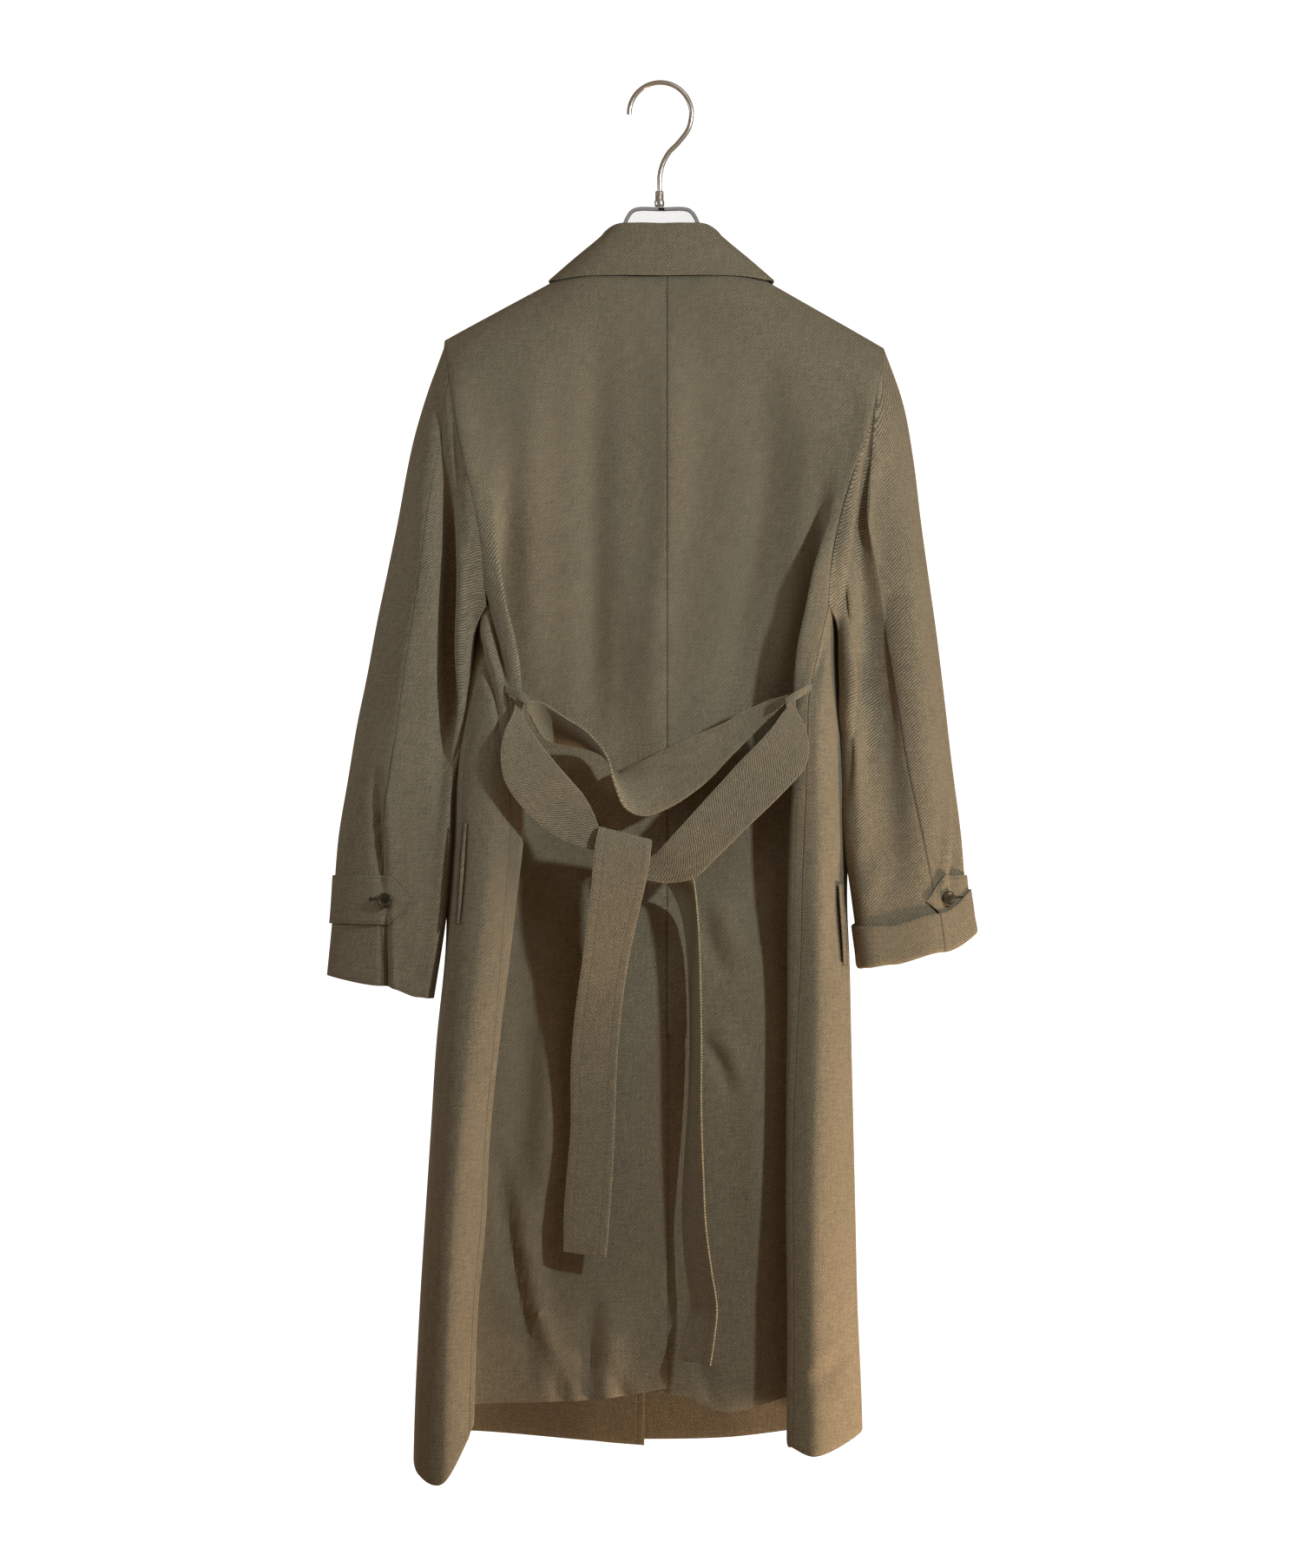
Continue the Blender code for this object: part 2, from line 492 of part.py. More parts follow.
    def lower_grid(self, first, last):
        """Grid (row, column, 3) of the lower body between two stations."""
        share = refine(LOWER_ROWS)
        step, part = samples(first, last)
        place = step + part
        rise = tangents(np.arange(len(self.hem), dtype=float), self.hem)
        hem = hermite(self.hem[step], self.hem[step + 1], rise[step], rise[step + 1], 1.0, part)
        columns = []
        for k in range(len(place)):
            z = UNDERARM_Z + (hem[k] - UNDERARM_Z) * share
            columns.append(chain(self.lower_stations(z), step[k:k + 1], part[k:k + 1])[0])
        return np.stack(columns, axis=1)

    def full_grid(self, first, last):
        upper = self.upper_grid(first, last)
        lower = self.lower_grid(first, last)
        return self.place(np.concatenate([upper, lower[1:]]))

    def back_grid(self):
        """The back, with the vent's underlay running on under the other half."""
        grid = self.full_grid(0, SEAM)
        if self.sign < 0:
            return grid
        step, part = samples(0, SEAM)
        place = step + part
        z = grid[:, :, 2]
        lap = np.clip((VENT_TOP_Z - z) / 14.0, 0.0, 1.0) * np.clip(1.0 - 3.0 * place, 0.0, 1.0)
        back = np.clip((VENT_TOP_Z + 6.5 - z) / 6.0, 0.0, 1.0) * np.clip(1.0 - 1.5 * place, 0.0, 1.0)
        grid[:, :, 0] -= VENT_LAP * lap
        grid[:, :, 1] += VENT_STEP * back
        return grid

    def knots(self):
        step, part = samples(0, LAST)
        return step + part

    def surface(self, place, z):
        """Points of the lower body at station places and heights."""
        step = np.minimum(np.floor(place).astype(int), LAST - 1)
        z = np.asarray(z, dtype=float)
        found = [chain(self.lower_stations(z[k:k + 1]), step[k:k + 1],
                       (place - step)[k:k + 1])[0, 0] for k in range(len(place))]
        return np.array(found)

    def place(self, grid):
        return grid * np.array([self.sign, 1.0, 1.0])


# --------------------------------------------------------------------- walls
def face_list(rows, columns, wrap):
    """Two triangles a quad, as index triples of a (rows, columns) grid."""
    faces = []
    across = columns if wrap else columns - 1
    for i in range(rows - 1):
        for j in range(across):
            a = i * columns + j
            b = i * columns + (j + 1) % columns
            c = b + columns
            d = a + columns
            faces.append((a, b, c))
            faces.append((a, c, d))
    return faces


def point_key(point):
    return tuple(int(round(value * 200)) for value in point)


class Panel:
    """A sheet: its grid of middle points, and which way is out."""

    def __init__(self, name, grid, out, wrap=False, thickness=CLOTH, gap=SEAM_GAP):
        self.name = name
        self.grid = grid
        self.out = out
        self.wrap = wrap
        self.thickness = thickness
        self.gap = gap

    def face_normals(self):
        rows, columns = self.grid.shape[:2]
        faces = np.array(face_list(rows, columns, self.wrap))
        flat = self.grid.reshape(-1, 3)
        a, b, c = flat[faces[:, 0]], flat[faces[:, 1]], flat[faces[:, 2]]
        return faces, np.cross(b - a, c - a) * self.out

    def add_normals(self, shared):
        faces, normals = self.face_normals()
        keys = [point_key(p) for p in self.grid.reshape(-1, 3)]
        for face, normal in zip(faces, normals):
            size = np.linalg.norm(normal)
            if size < 1e-6:
                continue
            for corner in face:
                shared.setdefault(keys[corner], []).append(normal)

    def normals(self, shared):
        found = np.zeros((self.grid.size // 3, 3))
        for index, point in enumerate(self.grid.reshape(-1, 3)):
            around = np.array(shared[point_key(point)])
            mean = around.sum(axis=0)
            mean /= np.linalg.norm(mean)
            units = around / np.linalg.norm(around, axis=1)[:, None]
            lean = max(0.75, float((units @ mean).mean()))
            found[index] = mean / lean
        return found.reshape(self.grid.shape)

    def trimmed(self):
        """The grid with its free borders moved in by half of the seam gap."""
        grid = self.grid.copy()
        half = self.gap / 2

        def pull(edge, inner):
            step = inner - edge
            length = np.linalg.norm(step, axis=-1, keepdims=True)
            return edge + step / np.maximum(length, 1e-6) * half

        grid[0] = pull(self.grid[0], self.grid[1])
        grid[-1] = pull(self.grid[-1], self.grid[-2])
        if not self.wrap:
            source = grid.copy()
            grid[:, 0] = pull(source[:, 0], source[:, 1])
            grid[:, -1] = pull(source[:, -1], source[:, -2])
        return grid

    def solid(self, shared):
        """Vertices and triangles of the closed wall round this sheet."""
        middle = self.trimmed()
        lift = self.normals(shared) * self.thickness / 2
        rows, columns = middle.shape[:2]
        outer = (middle + lift).reshape(-1, 3)
        inner = (middle - lift).reshape(-1, 3)
        count = rows * columns
        top = face_list(rows, columns, self.wrap)
        faces = [face for face in top]
        faces += [(a + count, c + count, b + count) for a, b, c in top]
        for a, b in self.border(rows, columns):
            faces.append((b, a, a + count))
            faces.append((b, a + count, b + count))
        if self.out < 0:
            faces = [(a, c, b) for a, b, c in faces]
        return np.concatenate([outer, inner]), faces

    def border(self, rows, columns):
        """Directed border edges of the outer face."""
        edges = []
        across = columns if self.wrap else columns - 1
        last = (rows - 1) * columns
        for j in range(across):
            k = (j + 1) % columns
            edges.append((j, k))
            edges.append((last + k, last + j))
        if not self.wrap:
            for i in range(rows - 1):
                edges.append(((i + 1) * columns, i * columns))
                edges.append((i * columns + columns - 1, (i + 1) * columns + columns - 1))
        return edges


def build_panels(panels, material):
    """Make the walls of panels that meet, with the normals of their seams shared."""
    shared = {}
    for panel in panels:
        panel.add_normals(shared)
    for panel in panels:
        verts, faces = panel.solid(shared)
        make_object(panel.name, verts, faces, material)


# -------------------------------------------------------------------- sleeves
def sleeve_loop():
    """Station place of each point round the armhole, and the seams' indices."""
    top = sum(STEPS[SEAM:SIDE]) * FINE
    back = refine(BACK_PLACES)[:-1]
    under = np.linspace(4.0, 5.0, top + 1)[:-1]
    front = refine(FRONT_PLACES)[::-1][:-1]
    hind = HIND_ROW * FINE
    fore = len(back) + top + (UPPER_COUNT - FORE_ROW) * FINE
    return np.concatenate([back, under, front]), hind, fore


def armhole(half):
    """The armhole's points, in the order of sleeve_loop."""
    upper = half.upper_stations(refine(UPPER_ROWS))
    back = upper[SEAM]
    front = upper[SIDE]
    under = half.lower_grid(SEAM, SIDE)[0]
    return np.concatenate([back[:-1], under[:-1], front[::-1][:-1]])


def ring_height(heights, place):
    """Heights given at the stations of a ring, eased between them."""
    table = np.array(heights, dtype=float)
    low = np.floor(place).astype(int) % len(table)
    share = place - np.floor(place)
    ease = share * share * (3.0 - 2.0 * share)
    return table[low] + (table[(low + 1) % len(table)] - table[low]) * ease


class Sleeve:
    """A sleeve's smooth surface, addressed by station place and by height."""

    turn = -1.0

    def __init__(self, half, table, cuff):
        self.half = half
        self.table = table
        self.cuff = cuff

    def stations(self, z):
        row = read_table(self.table, SLEEVE_COLUMNS, z)
        return np.stack([np.stack([row[name + "_x"], row[name + "_y"], z], axis=-1)
                         for name in SLEEVE_STATIONS])

    def surface(self, place, z):
        """Points at station places and heights, two arrays of one length."""
        step = np.floor(place).astype(int) % len(SLEEVE_STATIONS)
        share = place - np.floor(place)
        z = np.asarray(z, dtype=float)
        found = [chain(self.stations(z[k:k + 1]), step[k:k + 1], share[k:k + 1], closed=True)[0, 0]
                 for k in range(len(place))]
        return np.array(found)

    def knots(self):
        return np.append(sleeve_loop()[0], float(len(SLEEVE_STATIONS)))

    def cuff_height(self, place):
        return ring_height(self.cuff, place)

    def grid(self):
        """Rings (row, point, 3) from the armhole down to the cuff."""
        place, _, _ = sleeve_loop()
        start = armhole(self.half)
        end = self.cuff_height(place)
        shift = start - self.surface(place, start[:, 2])
        low = np.clip((place - 2.5) / 1.5, 0.0, 1.0) * np.clip((7.5 - place) / 1.5, 0.0, 1.0)
        reach = HEAD_BLEND + (UNDER_BLEND - HEAD_BLEND) * low
        rings = []
        for share in refine(SLEEVE_ROWS):
            z = start[:, 2] + (end - start[:, 2]) * share
            fade = np.clip(1.0 - share / reach, 0.0, 1.0)[:, None] ** 2
            rings.append(self.surface(place, z) + shift * fade)
        return self.half.place(np.array(rings))


def sleeve_panels(sleeve, side_name):
    grid = sleeve.grid()
    _, hind, fore = sleeve_loop()
    out = 1 if sleeve.half.sign > 0 else -1
    upper = np.concatenate([grid[:, fore:], grid[:, :hind + 1]], axis=1)
    return [Panel("upper_sleeve_" + side_name, upper, out),
            Panel("under_sleeve_" + side_name, grid[:, hind:fore + 1], out)]


def lifted(form, place, z, lift, reach=0.03):
    """A point at a station place and height of a sleeve or half, moved out, and its normal."""
    near = form.surface(np.array([place - reach, place, place + reach]), np.full(3, z))
    low = form.surface(np.array([place]), np.array([z - 1.0]))[0]
    normal = np.cross(low - near[1], near[2] - near[0])
    normal *= form.turn / np.linalg.norm(normal)
    return near[1] + normal * lift, normal


def laid(form, place, z, lift):
    """A point moved out from the flat between the form's own columns."""
    knots = form.knots()
    spot = place % knots[-1]
    high = int(np.searchsorted(knots, spot, side="right"))
    low = high - 1
    share = (spot - knots[low]) / (knots[high] - knots[low])
    near = lifted(form, knots[low], z, lift)[0]
    return near + (lifted(form, knots[high], z, lift)[0] - near) * share


def laid_grid(form, places, heights, lifts):
    """Grid on a form: places along it, a tuple of heights and of lifts for each."""
    return np.array([[laid(form, place, z, lift) for z, lift in zip(column, raised)]
                     for place, column, raised in zip(places, heights, lifts)])


# ------------------------------------------------------------------ small forms
def lathe(profile, count):
    """Closed turned solid about Z from (radius, height) rows, top to bottom."""
    verts = [(0.0, 0.0, profile[0][1])]
    for radius, height in profile:
        for k in range(count):
            angle = 2 * math.pi * k / count
            verts.append((radius * math.cos(angle), radius * math.sin(angle), height))
    verts.append((0.0, 0.0, profile[-1][1]))
    faces = []
    for k in range(count):
        faces.append((0, 1 + k, 1 + (k + 1) % count))
    for ring in range(len(profile) - 1):
        a = 1 + ring * count
        b = a + count
        for k in range(count):
            j = (k + 1) % count
            faces.append((a + k, b + k, b + j, a + j))
    last = 1 + (len(profile) - 1) * count
    end = len(verts) - 1
    for k in range(count):
        faces.append((last + (k + 1) % count, last + k, end))
    return np.array(verts), faces


def edge_strip(name, rows, columns, thickness, material):
    """A strip of cloth between two edges given row by row."""
    table = np.array(rows, dtype=float)
    count = (len(table) - 1) * FINE
    step = np.minimum(np.arange(count + 1) // FINE, len(table) - 2)
    share = np.arange(count + 1) / FINE - step
    first = chain(table[:, :3], step, share)
    second = chain(table[:, 3:], step, share)
    across = np.linspace(0.0, 1.0, columns + 1)
    grid = np.stack([first + (second - first) * t for t in across], axis=1)
    build_panels([Panel(name, grid, 1, thickness=thickness)], material)


def make_wire(name, points, radius, material, count=12):
    """A closed round wire along points that lie in the plane Y = 0."""
    line = np.array(points)
    along = np.gradient(line, axis=0)
    along /= np.linalg.norm(along, axis=1)[:, None]
    side = np.cross(along, (0.0, 1.0, 0.0))
    verts = []
    for spot, across in zip(line, side):
        for k in range(count):
            angle = 2 * math.pi * k / count
            verts.append(spot + radius * (across * math.cos(angle)
                                          + np.array([0.0, math.sin(angle), 0.0])))
    faces = [tuple(range(count))]
    for ring in range(len(line) - 1):
        for k in range(count):
            a = ring * count + k
            b = ring * count + (k + 1) % count
            faces.append((a, a + count, b + count, b))
    faces.append(tuple(range(len(verts) - 1, len(verts) - count - 1, -1)))
    make_object(name, verts, faces, material)


def add_strip(name, grid, material, wrap=False):
    """A piece that shares no seam: its wall stands alone."""
    build_panels([Panel(name, grid, 1, wrap=wrap, gap=0.0)], material)


# ---------------------------------------------------------------------- pieces
def collar_grid(right, left):
    """Rows from the neck seam over the fold to the outer edge; columns left to right."""
    way = refine(COLLAR_WAYS)
    read = read_table(COLLAR_TABLE, COLLAR_COLUMNS, way)
    lines = {name: np.stack([read[name + axis] for axis in ("_x", "_y", "_z")], axis=-1)
             for name in ("fold", "hip", "edge")}
    fold = lines["fold"]
    out = fold * np.array([1.0, 1.0, 0.0])
    out /= np.linalg.norm(out, axis=1)[:, None]
    drop = np.array([0.0, 0.0, FOLD_DROP])
    stand_top = fold - out * FOLD_HALF - drop
    fall_top = fold + out * FOLD_HALF - drop
    sides = []
    for half in (right, left):
        back = half.upper_grid(0, 1)[0]
        front = half.upper_grid(LAST - 1, LAST)[0]
        spots = np.concatenate([np.linspace(0.0, 1.0, len(back)),
                                np.linspace(1.0, 1.0 + 1.0 / FRONT_WAY, len(front))[1:]])
        line = np.concatenate([back, front[1:]])
        neck = np.stack([np.interp(way, spots, line[:, k]) for k in range(3)], axis=-1)
        neck[:, 2] += COLLAR_RISE
        waist = (neck + stand_top) / 2 + STAND_BULGE
        rows = np.stack([neck, waist, stand_top, fold, fall_top,
                         lines["hip"], lines["edge"]])
        rows[:, 0, 0] = CENTRE_X * half.sign
        sides.append(half.place(rows))
    return np.concatenate([sides[1][:, ::-1], sides[0][:, 1:]], axis=1)


def strap(sleeve, name, places, shoulder, heights, material):
    """A pointed strap round a sleeve, lying on it. The first place is its tip."""
    top, tip, bottom = heights
    grow = np.clip((places[0] - np.array(places)) / (places[0] - shoulder), 0.04, 1.0)
    columns = [(tip + (top - tip) * g, tip, tip + (bottom - tip) * g) for g in grow]
    lifts = [(STRAP_LIFT,) * 3] * len(places)
    grid = sleeve.half.place(laid_grid(sleeve, places, columns, lifts))
    add_strip(name, grid, material)


def cuff_turnup(sleeve, material):
    """The turned-up end: from under the hem, out and up over the sleeve."""
    place, _, _ = sleeve_loop()
    hem = sleeve.cuff_height(place)
    top = ring_height(TURNUP_TOP, place)
    heights = [(z - 2.8, z - 1.8, z + 12.0, end) for z, end in zip(hem, top)]
    lifts = [(0.4, 0.85 * lift, lift, lift) for lift in ring_height(TURNUP_LIFTS, place)]
    grid = sleeve.half.place(laid_grid(sleeve, place, heights, lifts))
    add_strip("cuff_turnup_right", grid.transpose(1, 0, 2), material, wrap=True)


def pocket_welt(half, name, span, top_z, bottom_z, material):
    count = 5 * FINE
    z = np.linspace(top_z, bottom_z, count + 1)
    places = np.linspace(span[0], span[1], 3)
    heights = [tuple(z)] * 3
    lifts = [(WELT_LIFT,) * len(z)] * 3
    grid = half.place(laid_grid(half, places, heights, lifts))
    add_strip(name, grid, material)


def button(sleeve, name, place, flat, z, material):
    """A button on a strap; flat is the middle of the facet that it lies on."""
    normal = lifted(sleeve, flat, z, 0.0, reach=0.25)[1]
    base = laid(sleeve, place, z, STRAP_LIFT + CLOTH / 2) + normal * 0.6
    normal = normal * np.array([sleeve.half.sign, 1.0, 1.0])
    base = sleeve.half.place(base)
    across = np.cross(normal, (0.0, 0.0, 1.0))
    across /= np.linalg.norm(across)
    up = np.cross(across, normal)
    verts, faces = lathe(((3.0, 2.0), (4.6, 2.1), (5.6, 2.9), (6.5, 2.9), (BUTTON_RADIUS, 2.2),
                          (BUTTON_RADIUS, 1.0), (5.2, 0.0)), 24)
    turned = base + np.outer(verts[:, 0], across) + np.outer(verts[:, 1], up)
    turned = turned + np.outer(verts[:, 2], normal)
    flip = np.linalg.det(np.stack([across, up, normal])) < 0
    faces = [tuple(reversed(face)) for face in faces] if flip else faces
    make_object(name, turned, faces, material)


def hanger_section(x, top, bottom, half):
    """Eight points of a section with rounded corners, in the plane X = x."""
    inset = 0.55 * half
    drop = min(0.6 * half, (top - bottom) / 3)
    return [(x, -inset, top), (x, inset, top), (x, half, top - drop), (x, half, bottom + drop),
            (x, inset, bottom), (x, -inset, bottom), (x, -half, bottom + drop),
            (x, -half, top - drop)]


def hanger_body(right, left, material):
    """Neck plate and both arms, lofted along X under the shoulders' cloth."""
    sections = []
    for half in (left, right):
        top = half.neck_line()
        start = np.array(top["mid"])
        slope = (top["edge"][2] - start[2]) / (top["edge"][0] - start[0])
        wing = []
        for x in HANGER_ARM_X:
            z = start[2] + slope * (x - NECK_X) - HANGER_UNDER
            wing.append(hanger_section(x * half.sign, z, z - HANGER_HEIGHT, HANGER_HALF))
        neck = [hanger_section(x * half.sign, z, low, NECK_HALF) for x, z, low in HANGER_NECK]
        sections += (wing[::-1] + neck[::-1]) if half.sign < 0 else (neck[1:] + wing)
    count = len(sections[0])
    verts = [point for section in sections for point in section]
    faces = [tuple(range(count))]
    for k in range(len(sections) - 1):
        for j in range(count):
            a = k * count + j
            b = k * count + (j + 1) % count
            faces.append((a, a + count, b + count, b))
    faces.append(tuple(range(len(verts) - 1, len(verts) - count - 1, -1)))
    make_object("hanger_body", verts, faces, material)


def hook(material):
    """The wire: from its tip over the rail, then an S-curve down into the ferrule."""
    centre_z = WIRE_RADIUS - HOOK_RADIUS
    points = []
    for k in range(HOOK_ARC_STEPS + 1):
        angle = math.radians(HOOK_TIP_ANGLE - (HOOK_TIP_ANGLE + 4.0) * k / HOOK_ARC_STEPS)
        points.append((HOOK_RADIUS * math.cos(angle) - 1.0, 0.0,
                       centre_z + HOOK_RADIUS * math.sin(angle)))
    stations = np.array([points[-2], points[-1]] + [(x, 0.0, z) for x, z in HOOK_NECK])
    step = np.repeat(np.arange(1, len(stations) - 1), 3)
    share = np.tile([1 / 3, 2 / 3, 1.0], len(stations) - 2)
    points += [tuple(p) for p in chain(stations, step, share)]
    make_wire("hanger_hook", points, WIRE_RADIUS, material)


def ferrule(material):
    x = HOOK_NECK[-1][0]
    verts, faces = lathe(((2.6, 0.0), (3.7, -0.9), (3.9, -8.5), (4.6, -9.4), (4.6, -13.2),
                          (3.8, -14.6)), 20)
    verts = verts + np.array([x, 0.0, FERRULE_TOP_Z])
    make_object("hanger_ferrule", verts, faces, material)


def main():
    clear_scene()
    finish = {name: make_material(name) for name in FINISHES}
    right = Half(1.0, UPPER_RIGHT, LOWER_RIGHT, HEM_RIGHT)
    left = Half(-1.0, UPPER_LEFT, LOWER_LEFT, HEM_LEFT)
    panels = []
    for half, name, out in ((right, "right", -1), (left, "left", 1)):
        panels.append(Panel("back_" + name, half.back_grid(), out))
        panels.append(Panel("side_" + name, half.place(half.lower_grid(SEAM, SIDE)), out))
        panels.append(Panel("front_" + name, half.full_grid(SIDE, LAST), out))
    sleeve_right = Sleeve(right, SLEEVE_RIGHT, CUFF_RIGHT)
    sleeve_left = Sleeve(left, SLEEVE_LEFT, CUFF_LEFT)
    panels += sleeve_panels(sleeve_right, "right")
    panels += sleeve_panels(sleeve_left, "left")
    build_panels(panels, finish["twill"])
    build_panels([Panel("collar", collar_grid(right, left), -1)], finish["twill"])

    strap(sleeve_left, "cuff_strap_left",
          (1.62, 1.5, 1.2, 1.0, 0.5, 0.15, 0.0, -0.11, -0.37, -0.75, -1.1),
          1.2, (-720.0, -742.0, -764.0), finish["twill"])
    strap(sleeve_right, "cuff_strap_right",
          (1.2, 1.0, 0.76, 0.5, 0.15, 0.0, -0.11, -0.37, -0.75, -1.1),
          0.76, (-720.0, -743.0, -764.0), finish["twill"])
    cuff_turnup(sleeve_right, finish["twill"])
    pocket_welt(left, "pocket_welt_left", (5.72, 5.97), -672.0, -763.0, finish["twill"])
    pocket_welt(right, "pocket_welt_right", (5.72, 5.97), -728.0, -800.0, finish["twill"])
    for name, rows in (("belt_upper", BELT_UPPER), ("belt_left", BELT_LEFT),
                       ("belt_right", BELT_RIGHT), ("belt_tail_left", TAIL_LEFT),
                       ("belt_tail_right", TAIL_RIGHT)):
        edge_strip(name, rows, 2, BELT_CLOTH, finish["twill"])
    for name, rows in (("belt_loop_left", LOOP_LEFT), ("belt_loop_right", LOOP_RIGHT)):
        edge_strip(name, rows, 1, CLOTH, finish["twill"])
    button(sleeve_left, "button_left", 1.12, 1.25, -742.0, finish["button"])
    button(sleeve_right, "button_right", 0.76, 0.75, -741.0, finish["button"])
    hanger_body(right, left, finish["clear"])
    ferrule(finish["chrome"])
    hook(finish["chrome"])


main()
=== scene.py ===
"""Looks of a long belted coat that hangs from a clear hanger.

Lengths are millimetres until a mesh is made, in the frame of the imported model: +Z up,
the back of the coat faces -Y, +X is the wearer's right, the hook's inside top is the
origin. Each cloth panel is a thin shell on a smooth surface through the coat's
stations, with its folds and creases pressed in, and shares its seams' points and
normals with its neighbours.
"""
import math

import bpy
import numpy as np
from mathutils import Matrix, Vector


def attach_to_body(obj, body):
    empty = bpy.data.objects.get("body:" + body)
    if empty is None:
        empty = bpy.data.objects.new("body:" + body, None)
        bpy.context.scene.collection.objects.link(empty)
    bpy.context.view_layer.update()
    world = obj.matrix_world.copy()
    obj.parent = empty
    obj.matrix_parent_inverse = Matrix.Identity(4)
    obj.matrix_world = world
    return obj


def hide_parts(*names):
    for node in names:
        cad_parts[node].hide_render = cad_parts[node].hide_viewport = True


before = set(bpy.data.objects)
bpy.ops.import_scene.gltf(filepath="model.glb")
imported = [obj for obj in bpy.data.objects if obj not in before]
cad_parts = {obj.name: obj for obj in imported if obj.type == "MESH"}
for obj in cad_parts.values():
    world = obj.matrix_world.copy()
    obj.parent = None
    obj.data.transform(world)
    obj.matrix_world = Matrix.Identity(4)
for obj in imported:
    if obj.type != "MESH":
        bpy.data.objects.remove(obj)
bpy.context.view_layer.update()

MM = 0.001
FINE = 8                # samples for each base step of a grid
CLOTH = 1.5             # thickness of the coat's cloth
BELT_CLOTH = 2.0
RIM = 0.7               # width of the rounding along the border of a shell
EDGE_DROP = 0.26        # how far the rounding lowers each face there
CLOTH_SHARP = 48.0      # degrees from which an edge of cloth stays sharp
HARD_SHARP = 50.0
PLATE_SHARP = 40.0

UNDERARM_Z = -476.0
ROUND_OVER = 46.0       # height over which the shoulder turns into the panels
TAPER = 0.3             # share of the way down over which the widths leave the shoulder's
SETTLE = 0.22           # share of the way down over which the rows leave its straight line
NECK_X = 58.0
NECK_Z = -158.0
BACK_NECK = (-25.0, -166.0)     # y and z of the neck seam at the centre back
FRONT_NECK_Z = -208.0
CENTRE_X = 5.0          # place of the centre seam, a little off the middle
MID_X = NECK_X + 2.0
MID_DEPTH = 0.5         # small differences in depth between neighbouring stations
RECESS_DEPTH = 1.0
CORNER_DEPTH = 4.0
RECESS_BEHIND = 12.0    # how far the back runs on behind the rolled edge

VENT_TOP_Z = -868.0
VENT_LAP = 34.0         # width of the vent's underlay
LAP_EASE = 14.0         # height over which the underlay widens
VENT_STEP = 3.6         # depth of the underlay behind the other half
STEP_START = 6.5        # height above the vent at which it steps back
STEP_EASE = 6.0

WALE = 0.0026           # horizontal period of the twill's diagonals, in metres
STITCH = 0.0031
FAR = 900.0             # stitch distance of cloth without a seam nearby
PLAIN_SEAM = -1000.0    # run that marks a seam without topstitching, whose groove gets the deeper painted shade
EDGE_INSET = 8.0        # stitch distance that marks a cut edge, which gets a painted highlight
HIDDEN = -3.0           # stitch distance at which no stitches show
STRAP_INSET = 2.3       # topstitching from the edge of a strap
BACK_INSET = 7.5
FRONT_INSET = 7.0
CENTRE_REACH = 6.0      # half width of the strip that the centre seam marks
FAINT_Z = -600.0        # above it the left sleeve's seams lie flatter,
FAINT = 2.4             # as if this much farther away
SHOULDER = 3 * FINE     # rows of a panel that run over the shoulder

UPPER_ROWS = (0.0, 0.015, 0.06, 0.14, 0.25, 0.375, 0.5, 0.65, 0.83, 1.0)
LOWER_ROWS = (0.0, 0.055, 0.11, 0.17, 0.235, 0.31, 0.39, 0.47, 0.543, 0.553, 0.575,
              0.66, 0.75, 0.84, 0.92, 1.0)
UPPER_COUNT = len(UPPER_ROWS) - 1

# Stations round one half of the body, from the centre back to the front edge.
STATIONS = ("centre", "mid", "recess", "edge", "seam", "crest", "side", "out", "corner",
            "front_mid", "front_edge")
SEAM = STATIONS.index("seam")
SIDE = STATIONS.index("side")
LAST = len(STATIONS) - 1
# Base steps between neighbouring stations. The shoulder is shared by back and
# front, so the steps from mid to seam are those from side to front_mid, reversed.
STEPS = (2, 3, 3, 2, 2, 2, 2, 3, 3, 2)

# ---- upper body, by row
# One row for each share of the way from the shoulder line down to the underarm.
UPPER_COLUMNS = ("share", "back_y", "recess_x", "edge_x", "edge_y", "arm_x", "arm_y", "arm_z",
                 "side_x", "side_y", "side_z", "out_x", "out_y", "corner_x", "front_y",
                 "front_x")
UPPER_RIGHT = (
    (0.00, -30, 115, 165, -30, 202,   0, -240, 202,   0, -240, 165, 24, 115, 34, -14),
    (0.10, -36, 122, 168, -34, 199, -22, -264, 200,  17, -264, 171, 28, 120, 34, -15),
    (0.20, -41, 128, 170, -40, 194, -38, -288, 195,  27, -288, 174, 33, 125, 38, -16),
    (0.35, -45, 135, 172, -46, 185, -50, -323, 185,  33, -323, 173, 38, 131, 41, -17),
    (0.50, -46, 139, 166, -54, 172, -57, -358, 175,  34, -362, 169, 38, 134, 43, -18),
    (0.65, -45, 143, 157, -62, 162, -63, -393, 168,  29, -404, 162, 34, 134, 44, -19),
    (0.80, -43, 146, 144, -68, 154, -67, -429, 162,  12, -445, 156, 25, 133, 44, -20),
    (0.90, -41, 146, 137, -70, 151, -68, -453, 159, -12, -465, 155, 14, 133, 44, -20),
    (1.00, -40, 144, 132, -70, 150, -68, -476, 156, -38, -476, 158, -3, 134, 44, -20))
